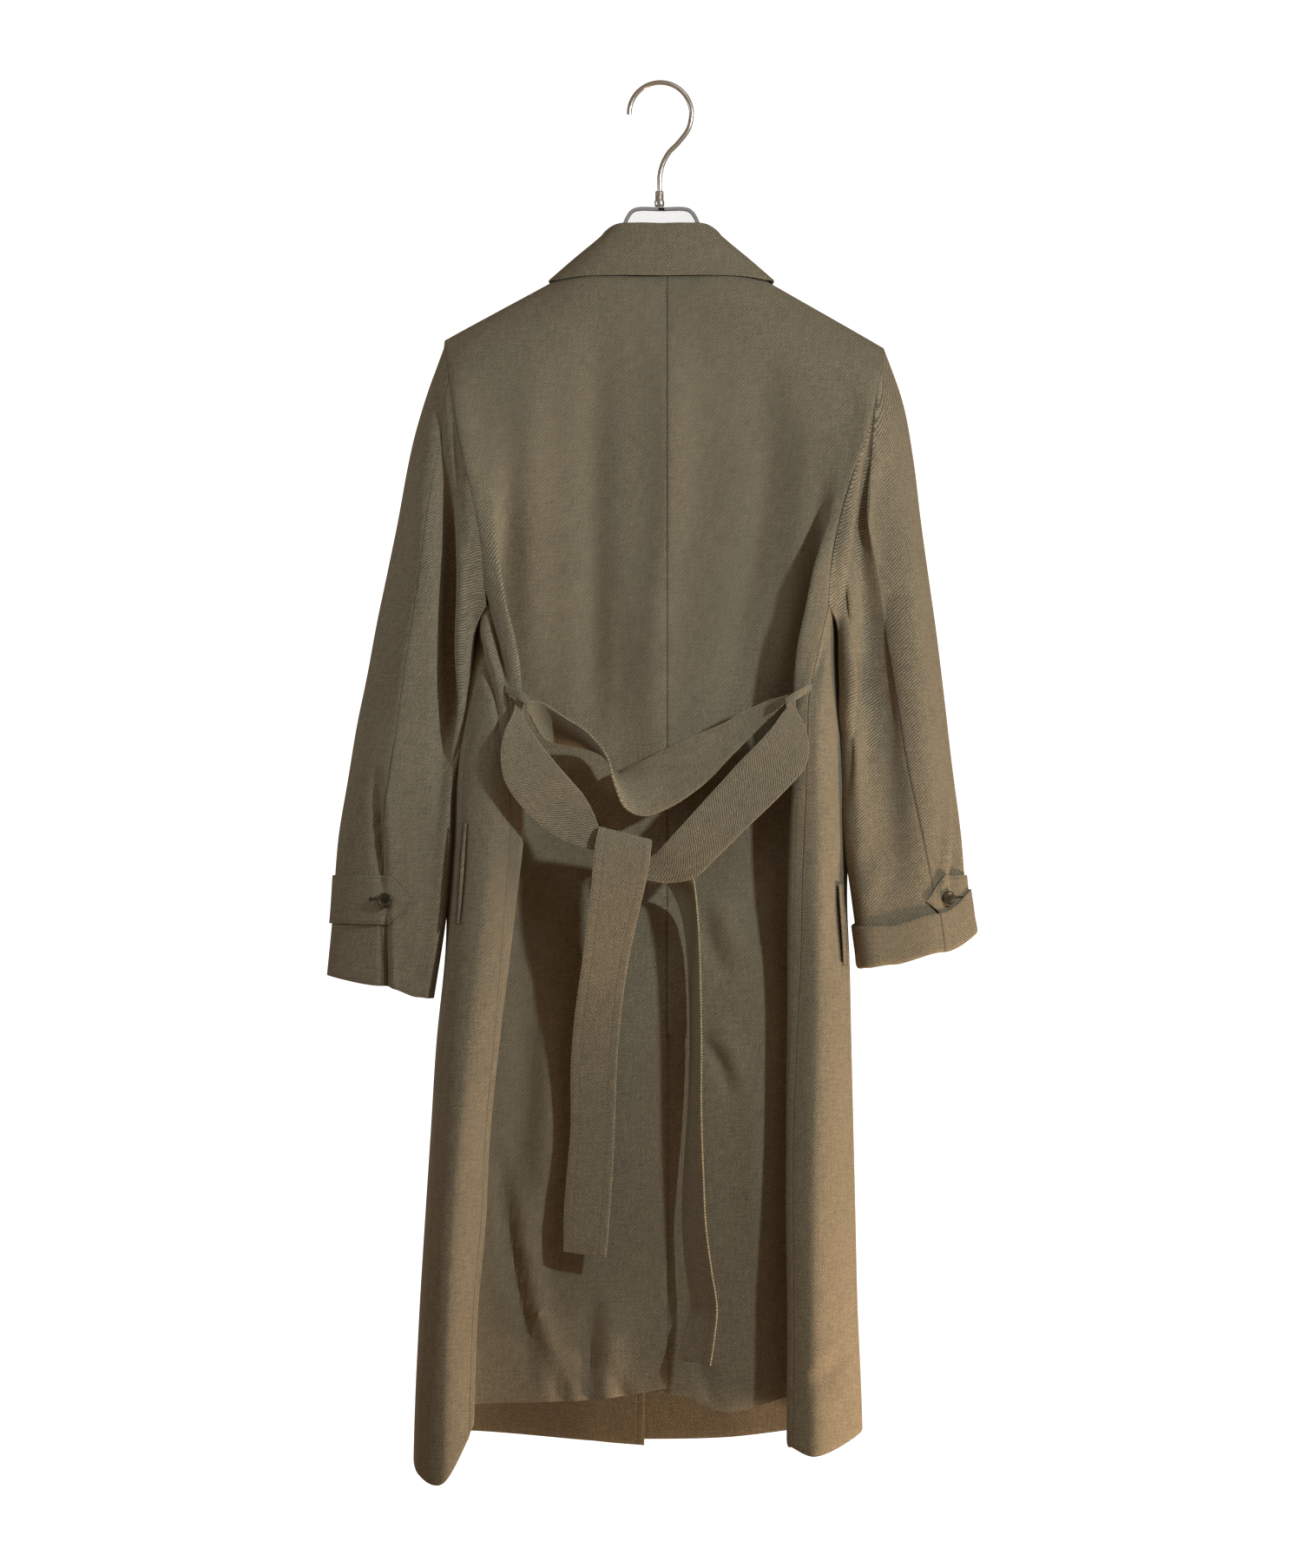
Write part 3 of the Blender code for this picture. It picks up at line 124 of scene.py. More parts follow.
UPPER_LEFT = (
    (0.00, -30, 110, 161, -30, 197,   0, -233, 197,   0, -233, 161, 24, 110, 20, -14),
    (0.10, -36, 116, 162, -34, 194, -22, -257, 195,  17, -257, 167, 27, 117, 29, -13),
    (0.20, -41, 121, 162, -41, 190, -38, -282, 191,  27, -282, 171, 31, 123, 33, -12),
    (0.35, -45, 127, 160, -47, 184, -49, -318, 185,  32, -318, 174, 34, 129, 36, -11),
    (0.50, -46, 132, 158, -53, 176, -55, -355, 178,  32, -358, 172, 34, 134, 38, -10),
    (0.65, -45, 138, 155, -59, 168, -59, -391, 172,  27, -402, 166, 31, 137, 39, -9),
    (0.80, -43, 145, 150, -65, 162, -62, -427, 168,  11, -444, 160, 22, 138, 39, -8),
    (0.90, -41, 150, 146, -68, 160, -62, -452, 166, -12, -465, 162, 11, 139, 39, -8),
    (1.00, -40, 153, 141, -70, 158, -62, -476, 164, -38, -476, 167, -3, 140, 39, -8))

# ---- lower body, by height
LOWER_COLUMNS = ("z", "back_y", "edge_x", "edge_y", "seam_x", "seam_y", "crest_x", "crest_y",
                 "side_x", "side_y", "out_x", "out_y", "corner_x", "front_y", "front_x")
LOWER_RIGHT = (
    (-476, -40, 132, -70, 150, -68, 154, -60, 156, -38, 158, -3, 134, 44, -20),
    (-524, -37, 122.5, -72, 139, -73, 149, -66, 157, -42, 167, -5, 136, 44, -21),
    (-555, -36, 120, -74, 132.7, -77, 147, -71, 158, -46, 167.5, -6, 139, 45, -22),
    (-595, -34, 121, -73, 131, -77, 146, -72, 160, -48, 168, -8, 143, 45, -23),
    (-634, -33, 119, -72, 130, -76, 145, -73, 161, -48, 169, -8, 146, 45, -24),
    (-682, -33, 116, -68, 128, -73, 144, -73, 162, -47, 169.5, -8, 148, 46, -26),
    (-729, -33, 115, -64, 126.5, -70, 144, -72, 162, -46, 168, -8, 150, 46, -28),
    (-792, -35, 114.5, -57, 125.6, -65, 143, -71, 167, -44, 168, -8, 151, 46, -30),
    (-871, -37, 114.5, -57, 122, -64, 141, -72, 169, -43, 169.5, -8, 152, 46, -33),
    (-950, -39, 114, -62, 119, -68, 139, -77, 171, -43, 171, -8, 153, 47, -37),
    (-1029, -41, 113.4, -68, 118.5, -74, 138, -81, 173, -43, 172.5, -8, 154, 47, -40),
    (-1108, -43, 114, -72, 119, -78, 138, -85, 175, -43, 174, -8, 155, 47, -44),
    (-1187, -45, 113.5, -75, 118.5, -81, 139, -88, 178.5, -43, 177, -8, 156, 47, -48),
    (-1280, -46, 113, -77, 118, -83, 140, -90, 181, -43, 180, -8, 157, 47, -52))
LOWER_LEFT = (
    (-476, -40, 141, -70, 158, -62, 162, -56, 164, -38, 167, -3, 140, 39, -8),
    (-524, -37, 131, -72, 146, -68, 157, -64, 167.5, -48, 178, -7, 145, 39, -6),
    (-555, -36, 128, -73, 138.5, -74, 154, -70, 171, -54, 182, -9, 149, 40, -4),
    (-595, -34, 126, -72, 137, -75, 155, -73, 175, -58, 186, -10, 153, 40, -2),
    (-634, -33, 125, -70, 136.5, -74, 156, -74, 178.5, -60, 189, -10, 157, 40, 0),
    (-682, -33, 125, -68, 136, -72, 158, -74, 180, -61, 189, -10, 160, 41, 2),
    (-729, -33, 130, -66, 140, -71, 162, -74, 182.5, -60, 193, -10, 163, 41, 4),
    (-792, -35, 137.5, -63, 145, -69, 168, -75, 189, -60, 194, -10, 167, 41, 6),
    (-871, -37, 147, -62, 151.5, -67, 176, -78, 196, -62, 202, -10, 172, 41, 8),
    (-950, -39, 155, -63, 159, -68, 183, -82, 201, -65, 207, -10, 177, 42, 10),
    (-1029, -41, 159, -64, 163, -69, 189, -84, 206, -68, 212, -10, 182, 42, 12),
    (-1108, -43, 166, -66, 170, -71, 193, -86, 210, -70, 217, -10, 186, 42, 14),
    (-1187, -45, 169, -68, 173, -73, 195, -88, 215, -72, 220, -10, 189, 42, 15),
    (-1280, -46, 171, -69, 175, -74, 196, -89, 218, -74, 222, -10, 191, 42, 16))

# Height of the hem at each station.
HEM_RIGHT = (-1184, -1205, -1190, -1229, -1234, -1241, -1224, -1221, -1225, -1237, -1239)
HEM_LEFT = (-1184, -1194, -1200, -1213, -1226, -1265, -1260, -1238, -1230, -1240, -1244)

# ---- sleeves
# Stations round a sleeve, from its outer line over the back and the inside.
SLEEVE_STATIONS = ("outer", "hind", "valley", "band", "inner", "under", "fin", "fout")
SLEEVE_COLUMNS = ("z",) + tuple(
    name + axis for name in SLEEVE_STATIONS for axis in ("_x", "_y"))
SLEEVE_RIGHT = (
    (-240, 206, 0, 200, -16, 198, -28, 190, -50, 180, -60, 175, -15, 180, 20, 196, 12),
    (-290, 221, 0, 192, -44, 190, -40, 184, -60, 172, -62, 168, -15, 176, 28, 203, 26),
    (-340, 229, 0, 189, -52, 184, -46, 177, -64, 165, -64, 165, -15, 172, 32, 208, 34),
    (-400, 236, -1, 186, -56, 181, -47, 170, -66, 158, -62, 165, -15, 170, 32, 213, 40),
    (-444, 242, -2, 196, -55, 181, -46, 169, -64, 159, -58, 166, -14, 170, 29, 218, 42),
    (-501, 250, -3, 205, -53, 186, -43, 172, -60, 161, -52, 167, -13, 172, 27, 224, 42),
    (-559, 257, -4, 214, -51, 187, -42, 173, -58, 162.5, -47, 168, -11, 174, 25, 230, 40),
    (-620, 264, -5, 223, -49, 187, -48, 174, -56, 163.5, -45, 169, -9, 176, 22, 236, 34),
    (-682, 272, -7, 235, -46, 195, -51, 176, -54, 165.5, -44, 171, -8, 178, 17, 242, 28),
    (-740, 277, -9, 247, -42, 201, -51, 180, -52, 173, -38, 177, -8, 182, 12, 248, 21),
    (-800, 287, -12, 256, -38, 209, -49, 187, -49, 181, -36, 185, -9, 190, 7, 256, 15))
SLEEVE_LEFT = (
    (-240, 204, 0, 199, -16, 198, -26, 192, -50, 184, -58, 178, -15, 184, 20, 196, 12),
    (-290, 218, 0, 203, -36, 194, -34, 188, -56, 178, -60, 172, -15, 181, 27, 202, 25),
    (-340, 229, 0, 206, -43, 187, -39, 183, -58, 172, -60, 170, -15, 178, 31, 209, 33),
    (-400, 240, -1, 212, -47, 188.5, -42, 178, -61, 167, -60, 169, -15, 177, 31, 217, 39),
    (-444, 249, -2, 218, -49, 191, -42, 178, -61, 167, -58, 170, -14, 178, 29, 224, 41),
    (-492, 259, -3, 226, -49, 192.5, -40, 180, -60, 169.5, -54, 176, -13, 183, 27, 232, 42),
    (-536, 267, -4, 233, -49, 195, -39, 182, -58, 173, -50, 181, -12, 187, 25, 238, 40),
    (-585, 277, -4, 240, -48, 196, -39, 185, -56, 178, -46, 186, -11, 192, 23, 244, 36),
    (-634, 285, -5, 247, -47, 200, -45, 189, -54, 182.5, -44, 190, -10, 196, 19, 250, 31),
    (-682, 293, -6, 252, -45, 206, -48, 194, -53, 187.5, -42, 193, -9, 199, 15, 256, 26),
    (-760, 299, -7, 254, -42, 213, -48, 201, -50, 196, -37, 200, -8, 205, 8, 262, 18),
    (-831, 306, -8, 254, -40, 221, -45, 211, -45, 207, -31, 210, -8, 214, 5, 267, 13))
CUFF_RIGHT = (-771, -786, -797, -800, -801, -798, -790, -776)
CUFF_LEFT = (-811, -820, -830, -831, -831, -828, -821, -812)
SLEEVE_ROWS = (0.0, 0.035, 0.08, 0.14, 0.21, 0.29, 0.38, 0.48, 0.59, 0.70, 0.81, 0.91, 1.0)
HEAD_BLEND = 0.24       # share of its length over which the head leaves the armhole
UNDER_BLEND = 0.09      # the same under the arm
UNDER_SPAN = (2.5, 7.5)     # station places between which it counts as under the arm
UNDER_EASE = 1.5
# Station place of each upper row on the armhole, down its back and up its front.
BACK_PLACES = (0.0, 0.15, 0.5, 1.0, 1.5, 2.0, 2.5, 3.0, 3.5, 4.0)
FRONT_PLACES = (8.0, 7.89, 7.63, 7.25, 6.9, 6.5, 6.1, 5.75, 5.4, 5.0)
HIND_ROW = 3            # rows at which the two sleeve seams meet the armhole
FORE_ROW = 5

# ---- collar
# The fold line, the middle of the fall and its outer edge, from the centre back (0)
# past the neck point (1) to the front end (2).
COLLAR_COLUMNS = ("way", "fold_x", "fold_y", "fold_z", "hip_x", "hip_y", "hip_z",
                  "edge_x", "edge_y", "edge_z")
COLLAR_TABLE = (
    (0.00, 0, -31, -129, 0, -35.5, -152, 0, -35, -176),
    (0.33, 23, -30, -128.5, 32, -34.5, -152, 42, -33, -175.5),
    (0.67, 43, -22, -130, 61, -26.5, -153, 78, -25, -176.5),
    (0.85, 52, -11, -136, 74, -15, -156, 95, -14, -178.5),
    (1.00, 57, 0, -144, 81, -1, -161, 102.5, -2, -178.8),
    (1.12, 56, 6, -147, 80, 12, -164, 101, 14, -182.5),
    (1.25, 53, 12, -151, 78, 24, -172, 97, 32, -196),
    (1.50, 41, 20, -160, 64, 37, -189, 81, 43, -219),
    (1.75, 29, 28, -171, 46, 43, -204, 61, 48, -240),
    (2.00, 16, 34, -181, 29, 46, -220, 42, 51, -262))
FOLD_HALF = 1.7         # half of the way between stand and fall at the fold
FOLD_DROP = 2.2
COLLAR_RISE = 2.2       # the stand starts this far above the neck edge
STAND_BULGE = np.array([0.0, 0.0, 5.0])
FRONT_WAY = 0.67        # where the collar ends, as a share of the front neck seam
COLLAR_WAYS = (0.0, 0.2, 0.4, 0.6, 0.8, 1.0, 1.12, 1.25, 1.4, 1.6, 1.8, 2.0)

# ---- belt
# Each row: one edge of the strip, then the other edge.
BELT_UPPER = (
    (-122, -85.6, -562, -121.5, -85.6, -570),
    (-109, -82, -563, -106, -72, -596),
    (-88, -86, -577, -86, -54, -602),
    (-64, -92, -593, -65, -48, -606),
    (-49, -97, -612, -51, -50, -613),
    (-42, -94, -637, -42, -50, -627),
    (-33, -85, -658, -31, -55, -622),
    (-17, -74, -666, -17, -60, -616),
    (8, -68, -658, 3, -60, -606),
    (41, -65, -635, 31, -61, -593),
    (62, -65, -613, 56, -62, -582),
    (82, -67, -593, 76, -65, -571),
    (101, -72, -574, 95, -70, -562),
    (114.5, -83.7, -561, 113.5, -83.7, -557))
BELT_LEFT = (
    (-131, -80.2, -557, -124.5, -83.8, -559.5),
    (-133, -83, -571, -124, -83, -577),
    (-141, -87, -590, -116, -86, -591),
    (-144.5, -89, -610, -108, -89, -602),
    (-141, -90, -634, -99, -90, -613),
    (-130, -90, -652, -89, -90, -625),
    (-116, -89, -667, -80, -89, -635),
    (-99, -88, -681, -70, -88, -647),
    (-79, -87, -691, -62, -87, -661),
    (-60, -86, -697, -55.8, -86, -677))
BELT_RIGHT = (
    (114, -86.2, -559.5, 120.5, -86.2, -561),
    (114, -84.5, -566, 121, -83.5, -569),
    (108, -85, -574, 128, -84, -583),
    (101, -87, -584, 132.5, -86, -603),
    (87, -88, -600, 129, -88, -622),
    (72, -88, -615, 113, -89, -641),
    (52, -87, -637, 92, -89, -662),
    (32, -86, -659, 73, -88, -680),
    (12, -84, -681, 52, -85, -701),
    (0, -82, -694, 30, -82, -721),
    (-9, -79, -702, 6, -78, -726),
    (-22, -77, -703, -20, -76, -722))
TAIL_LEFT = (
    (-55, -80.5, -690, -12, -79, -701),
    (-55.5, -86, -679, -10, -83.5, -690),
    (-56, -91, -676, -8.7, -88.5, -688),
    (-58, -94, -683, -9.5, -92.5, -696),
    (-61, -94, -699, -11, -93, -710),
    (-63, -92, -725, -14, -91, -725),
    (-67, -86, -755, -21, -85, -755),
    (-71, -76, -792, -29, -75, -792),
    (-78, -64, -843, -36, -67, -841),
    (-82, -57, -893, -40, -63, -887),
    (-82, -55, -943, -42, -62, -938),
    (-85, -56, -984, -44, -63, -984),
    (-88, -57, -1024, -47, -64, -1029),
    (-88.5, -58, -1059, -50, -65, -1064))
TAIL_RIGHT = (
    (28, -79.4, -717, -3, -75.8, -717),
    (30, -77, -728, 6, -61, -728),
    (32, -76, -748, 16, -45, -748),
    (34, -75, -776, 22, -41, -776),
    (36, -75, -863, 26, -41.5, -863),
    (36, -76, -934, 24, -43.5, -934),
    (38, -77, -994, 20, -46, -994),
    (40, -78, -1034, 19, -49, -1034),
    (45, -80, -1074, 22, -52, -1074),
    (50, -81, -1108, 26, -56, -1108),
    (48, -82, -1133, 21, -59, -1131),
    (44, -82, -1160, 14, -61, -1156))

LOOP_LEFT = (
    (-140, -75.4, -548, -141, -75.4, -555),
    (-133, -81, -551, -134, -81, -558),
    (-126, -86, -554, -127, -87.5, -562),
    (-119, -87, -559, -119, -90, -567))
LOOP_RIGHT = (
    (134, -78.2, -546, 135, -78.2, -553),
    (127, -83.5, -550, 128, -83.5, -557),
    (120, -87.5, -554, 120, -88.5, -562),
    (111, -88.5, -560, 112, -91, -568))

# ---- pieces that lie on the others
STRAP_LIFT = 2.6        # middle of a strap above the middle of the sleeve's cloth
STRAP_TAIL = (0.15, 0.0, -0.11, -0.37, -0.75, -1.1)
# For each strap: its station places from the tip, where its point ends, and the heights
# of its top edge, tip and bottom edge.
STRAPS = {"left": ((1.62, 1.5, 1.2, 1.0, 0.5) + STRAP_TAIL, 1.2, (-720.0, -742.0, -764.0)),
          "right": ((1.2, 1.0, 0.76, 0.5) + STRAP_TAIL, 0.76, (-720.0, -743.0, -764.0))}
BLUNT = 0.04            # width of a strap's tip as a share of the strap's
TURNUP_LIFTS = (5.2, 5.2, 4.4, 4.0, 3.6, 2.8, 4.6, 5.2)
TURNUP_UNDER = (2.8, 0.4)   # start of the turn-up below the hem, and its lift there
TURNUP_FOLD = (1.8, 0.85)   # its lowest point, and the share of the lift reached there
TURNUP_BAND = 12.0      # height above the hem from which it lies parallel to the sleeve
TURNUP_TOP = (-733, -754, -765, -765, -765, -763, -755, -741)
WELT_LIFT = 2.4
WELT_LIPS = (0.0, 1.0, 1.6, 0.8, -1.2, 0.8, 1.6, 1.0, 0.0)
WELT_SPAN = (5.72, 5.97)    # station places of a welt's two long edges
WELT_ENDS = {"left": (-672.0, -763.0), "right": (-728.0, -800.0)}
WELT_SEAM = 0.6         # scale of the map that paints shade in the opening between the lips

# ---- hanger
HANGER_UNDER = 3.4      # top of an arm below the middle of the shoulders' cloth
HANGER_HEIGHT = 13.0
HANGER_HALF = 4.8
HANGER_ARM_X = (66, 100, 140, 186)
HANGER_NECK = ((0, -111.3), (22, -111.3), (27, -113.5), (31, -119), (35, -130), (37, -148),
               (40, -169), (50, -170))
BAR_DROP = 2.0          # middle of the rim's bar below the hanger's top line
BAR_WIDTH = 1.9         # half widths of the bar, in the hanger's plane and across it
BAR_DEPTH = HANGER_HALF - 0.3
BAR_SQUARE = 0.55       # 1 for a round section, less for a squarer one
WEB_DROP = 4.1
WEB_HALF = 1.0
WEB_LEAST = 10.0        # least height of the web in the neck opening
WEB_INSET = 0.4
HANGER_PANE_Z = -174.0  # lower edge of the web in the neck opening
HANGER_NECK_X = 50.0    # half width of the neck opening's web
WIRE_RADIUS = 2.3
HOOK_RADIUS = 28.4
HOOK_ANGLES = (182.0, -4.0)     # tip of the hook and end of its bend
HOOK_SHIFT = 1.0        # the bend's middle beside the hanging point
HOOK_NECK = ((24.6, -40), (15.5, -52.5), (6.5, -62), (0.8, -73), (-1.6, -84), (-1.8, -96))
STUB_Z = -112.5         # top of the wire's end that shows in the neck bar, drawn as a near-black plate of painted shade
STUB_HALF = 2.7
STUB_HEIGHT = 1.8
FERRULE_TOP_Z = -96.4
FERRULE = ((2.3, 0.0), (3.3, -0.2), (3.7, -0.9), (3.85, -2.0), (3.9, -8.4),
           (4.5, -9.2), (4.6, -9.9), (4.6, -13.0), (4.3, -13.9), (3.8, -14.6))

# ---- buttons
# Turned forms as (radius, height) rows.
BUTTON_RIM = ((2.6, 1.75), (3.3, 1.8), (4.4, 2.0), (5.0, 2.5), (5.5, 2.8), (6.1, 2.85),
              (6.6, 2.6), (6.9, 2.1), (7.0, 1.5), (6.8, 0.9), (6.0, 0.4), (4.8, 0.0))
BUTTON_HOLE = ((0.75, 1.84), (0.75, 1.2))
THREAD_BAR = ((0.2, 1.9), (0.42, 1.6), (0.42, -1.6), (0.2, -1.9))
THREAD_Z = 1.95
HOLE_OFFSET = 1.3
BUTTON_LIFT = 1.0       # back of a button above the strap
# For each button: its place, the middle of the strap's facet there, its height, and
# the span and height of its buttonhole.
BUTTONS = {"left": (1.12, 1.25, -742.0, (1.06, 0.84), -741.0),
           "right": (0.76, 0.75, -741.0, (0.60, 0.26), -740.0)}
CORD = (0.75, 0.4)      # half height and half thickness of a buttonhole's edge
BAR = (0.5, 0.55)       # the same of the bar across its end
BAR_HALF = 1.9

# ---- studio
FLOOR_HALF = 9000
FLOOR_Z = -1950
WALL_HALF = 1250
WALL_Y = 2600
WALL_SPAN = (-1940, 900)
COAT = (0.0, -0.05, -0.70)
# Name, place, target, size, power, colour and spread in degrees, in metres and watts.
LIGHTS = (
    ("key", (1.42, -1.48, 0.02), (-0.50, -0.05, -0.60), 0.13, 4.15, (0.85, 0.96, 0.95), 76.0),
    ("low", (0.92, -0.22, -1.5), COAT, 0.25, 10.4, (1.0, 0.74, 0.51), 180.0),
    ("side", (-1.6, -0.5, -0.2), (-0.25, 0.0, -0.45), 0.60, 0.80, (0.70, 0.90, 0.97), 70.0),
    ("high", (0.60, -1.20, 0.75), COAT, 0.50, 2.0, (0.84, 0.96, 1.0), 180.0),
    ("bounce", (-0.4, -0.8, -2.2), COAT, 0.50, 3.5, (1.0, 0.64, 0.35), 180.0))
AMBIENT = 0.155
AMBIENT_COLOUR = (1.0, 0.61, 0.32, 1.0)
CAMERA_SPOT = (-0.0095, -6.0, -0.637)
CAMERA_AWAY = 5.99      # metres from the camera to the plane that the frame spans
FRAME_WIDTH = 1.185


# ---- smooth interpolation
def unit(value):
    """A value held between 0 and 1."""
    return np.clip(value, 0.0, 1.0)


def tangents(gaps, values):
    """Finite-difference tangents along axis 0, one-sided at both ends."""
    slopes = np.diff(values, axis=0) / gaps
    inner = (slopes[:-1] * gaps[1:] + slopes[1:] * gaps[:-1]) / (gaps[1:] + gaps[:-1])
    return np.concatenate([slopes[:1], inner, slopes[-1:]])


def hermite(low, high, low_slope, high_slope, gap, share):
    """Cubic between two values with given slopes."""
    square = share * share
    cube = square * share
    return (low * (2 * cube - 3 * square + 1) + high * (3 * square - 2 * cube)
            + low_slope * gap * (cube - 2 * square + share)
            + high_slope * gap * (cube - square))


def read_table(table, columns, at):
    """Every column of a table, smoothly interpolated at the heights or shares in at."""
    rows = np.array(table, dtype=float)
    keys = rows[:, 0]
    at = np.asarray(at, dtype=float)
    if keys[0] > keys[-1]:
        keys = -keys
        at = -at
    slopes = tangents(np.diff(keys)[:, None], rows)
    spot = np.clip(np.searchsorted(keys, at, side="right") - 1, 0, len(keys) - 2)
    gap = keys[spot + 1] - keys[spot]
    share = unit((at - keys[spot]) / gap)
    found = hermite(rows[spot], rows[spot + 1], slopes[spot], slopes[spot + 1],
                    gap[..., None], share[..., None])
    return {name: found[..., index] for index, name in enumerate(columns)}


def curve_at(stations, place, closed=False):
    """Points at places along smooth curves; stations is (station, point, 3)."""
    points = stations
    if closed:
        points = np.concatenate([stations[-2:], stations, stations[:3]])
        place = place % len(stations) + 2.0
    chord = np.linalg.norm(np.diff(points, axis=0), axis=-1)
    gaps = np.sqrt(np.maximum(chord, 0.2))[..., None]
    slope = tangents(gaps, points)
    step = np.clip(np.floor(place).astype(int), 0, len(points) - 2)
    share = (place - step)[:, None]
    k = np.arange(points.shape[1])
    return hermite(points[step, k], points[step + 1, k], slope[step, k], slope[step + 1, k],
                   gaps[step, k], share)


def polyline_at(points, place):
    """Points at places along one smooth curve; points is (station, 3)."""
    spread = np.repeat(np.asarray(points, dtype=float)[:, None], len(place), axis=1)
    return curve_at(spread, np.asarray(place, dtype=float))


def places(first, last):
    """Station place of each column between two stations."""
    found = [index + k / (STEPS[index] * FINE)
             for index in range(first, last) for k in range(STEPS[index] * FINE)]
    return np.array(found + [float(last)])


def refine(shares):
    """Shares with FINE even steps between neighbours."""
    base = np.arange(len(shares))
    return np.interp(np.arange((len(shares) - 1) * FINE + 1) / FINE, base, shares)


def stepped(knots, counts):
    """Even steps between neighbouring knots, each stretch with its own count."""
    parts = [np.linspace(low, high, count + 1)[1:]
             for low, high, count in zip(knots, knots[1:], counts)]
    return np.concatenate([[knots[0]]] + parts)


def rows_at(rows, spots):
    """Rows at the spots of the smooth curves that run through the given rows."""
    return np.stack([curve_at(rows, np.full(rows.shape[1], spot)) for spot in spots])


def arc_lengths(grid):
    """Length along each row from the first column, and down each column from its top."""
    across = np.linalg.norm(np.diff(grid, axis=1), axis=-1)
    down = np.linalg.norm(np.diff(grid, axis=0), axis=-1)
    return (np.pad(np.cumsum(across, axis=1), ((0, 0), (1, 0))),
            np.pad(np.cumsum(down, axis=0), ((1, 0), (0, 0))))


# ---- the body
class Half:
    """One half of the body: its tables and the side of the body that it is on."""

    def __init__(self, sign, upper, lower, hem):
        self.sign = sign
        self.upper = upper
        self.lower = lower
        self.hem = np.array(hem, dtype=float)

    def neck_line(self):
        """Top point of each station, from the neck and shoulder."""
        tip = dict(zip(UPPER_COLUMNS, self.upper[0]))

        def shoulder(x):
            fall = (tip["arm_z"] - NECK_Z) * (x - NECK_X) / (tip["arm_x"] - NECK_X)
            return x, 0.0, NECK_Z + fall

        neck = (NECK_X, 0.0, NECK_Z)
        recess = shoulder(tip["recess_x"])
        edge = shoulder(tip["edge_x"])
        arm = (tip["arm_x"], 0.0, tip["arm_z"])
        line = ((CENTRE_X * self.sign,) + BACK_NECK, neck, recess, edge, arm, arm, arm, edge,
                recess, neck, (tip["front_x"], tip["front_y"], FRONT_NECK_Z))
        return dict(zip(STATIONS, line))

    def upper_stations(self, share):
        """Station points (station, point, 3) between shoulder line and underarm."""
        row = read_table(self.upper, UPPER_COLUMNS, share)
        top = self.neck_line()
        ones = np.ones_like(share)

        def point(name, x, y):
            start = top[name]
            z = start[2] + (UNDERARM_Z - start[2]) * share
            t = unit((start[2] - z) / ROUND_OVER)
            y = start[1] + (y - start[1]) * np.sqrt(1.0 - (1.0 - t) ** 2)
            x = x + (start[0] - x) * unit(1.0 - share / TAPER) ** 2
            return np.stack([x, y, z], axis=-1)

        arm = np.stack([row["arm_x"], row["arm_y"], row["arm_z"]], axis=-1)
        side = np.stack([row["side_x"], row["side_y"], row["side_z"]], axis=-1)
        last = dict(zip(LOWER_COLUMNS, self.lower[0]))
        end = dict(zip(UPPER_COLUMNS, self.upper[-1]))
        final = np.array([end["arm_x"] + end["side_x"], end["arm_y"] + end["side_y"],
                          end["arm_z"] + end["side_z"]]) / 2
        goal = np.array([last["crest_x"], last["crest_y"], UNDERARM_Z])
        crest = (arm + side) / 2 + (goal - final) * share[:, None]
        return np.stack([
            point("centre", CENTRE_X * self.sign * ones, row["back_y"]),
            point("mid", MID_X * ones, row["back_y"] - MID_DEPTH),
            point("recess", row["recess_x"], row["back_y"] - RECESS_DEPTH),
            point("edge", row["edge_x"], row["edge_y"]),
            arm, crest, side,
            point("out", row["out_x"], row["out_y"]),
            point("corner", row["corner_x"], row["front_y"] - CORNER_DEPTH),
            point("front_mid", MID_X * ones, row["front_y"]),
            point("front_edge", row["front_x"], row["front_y"] + MID_DEPTH)])

    def lower_stations(self, z):
        """Station points (station, point, 3) at the heights z below the underarm."""
        row = read_table(self.lower, LOWER_COLUMNS, z)
        ones = np.ones_like(z)

        def point(x, y):
            return np.stack([x, y, z], axis=-1)

        return np.stack([
            point(CENTRE_X * self.sign * ones, row["back_y"]),
            point(MID_X * ones, row["back_y"] - MID_DEPTH),
            point(row["edge_x"] + RECESS_BEHIND, row["back_y"] - RECESS_DEPTH),
            *(point(row[name + "_x"], row[name + "_y"])
              for name in ("edge", "seam", "crest", "side", "out")),
            point(row["corner_x"], row["front_y"] - CORNER_DEPTH),
            point(MID_X * ones, row["front_y"]),
            point(row["front_x"], row["front_y"] + MID_DEPTH)])

    def upper_grid(self, first, last):
        """Grid (row, column, 3) of the upper body between two stations."""
        share = refine(UPPER_ROWS)
        place = places(first, last)
        rows, columns = np.meshgrid(share, place, indexing="ij")
        grid = curve_at(self.upper_stations(rows.ravel()), columns.ravel())
        grid = grid.reshape(len(share), len(place), 3)
        line = np.array([self.neck_line()[name] for name in STATIONS], dtype=float)
        target = np.stack([np.interp(place, np.arange(len(line)), line[:, k])
                           for k in range(3)], axis=-1)
        shoulder = ((place >= 1) & (place <= SEAM)) | ((place >= SIDE) & (place <= LAST - 1))
        shift = np.where(shoulder[:, None], target - grid[0], 0.0)
        fade = unit(1.0 - share / SETTLE) ** 2
        return grid + shift[None] * fade[:, None, None]

    def hem_height(self, place):
        """Height of the hem at station places."""
        rise = tangents(np.ones(len(self.hem) - 1), self.hem)
        step = np.clip(np.floor(place).astype(int), 0, LAST - 1)
        return hermite(self.hem[step], self.hem[step + 1], rise[step], rise[step + 1], 1.0,
                       place - step)

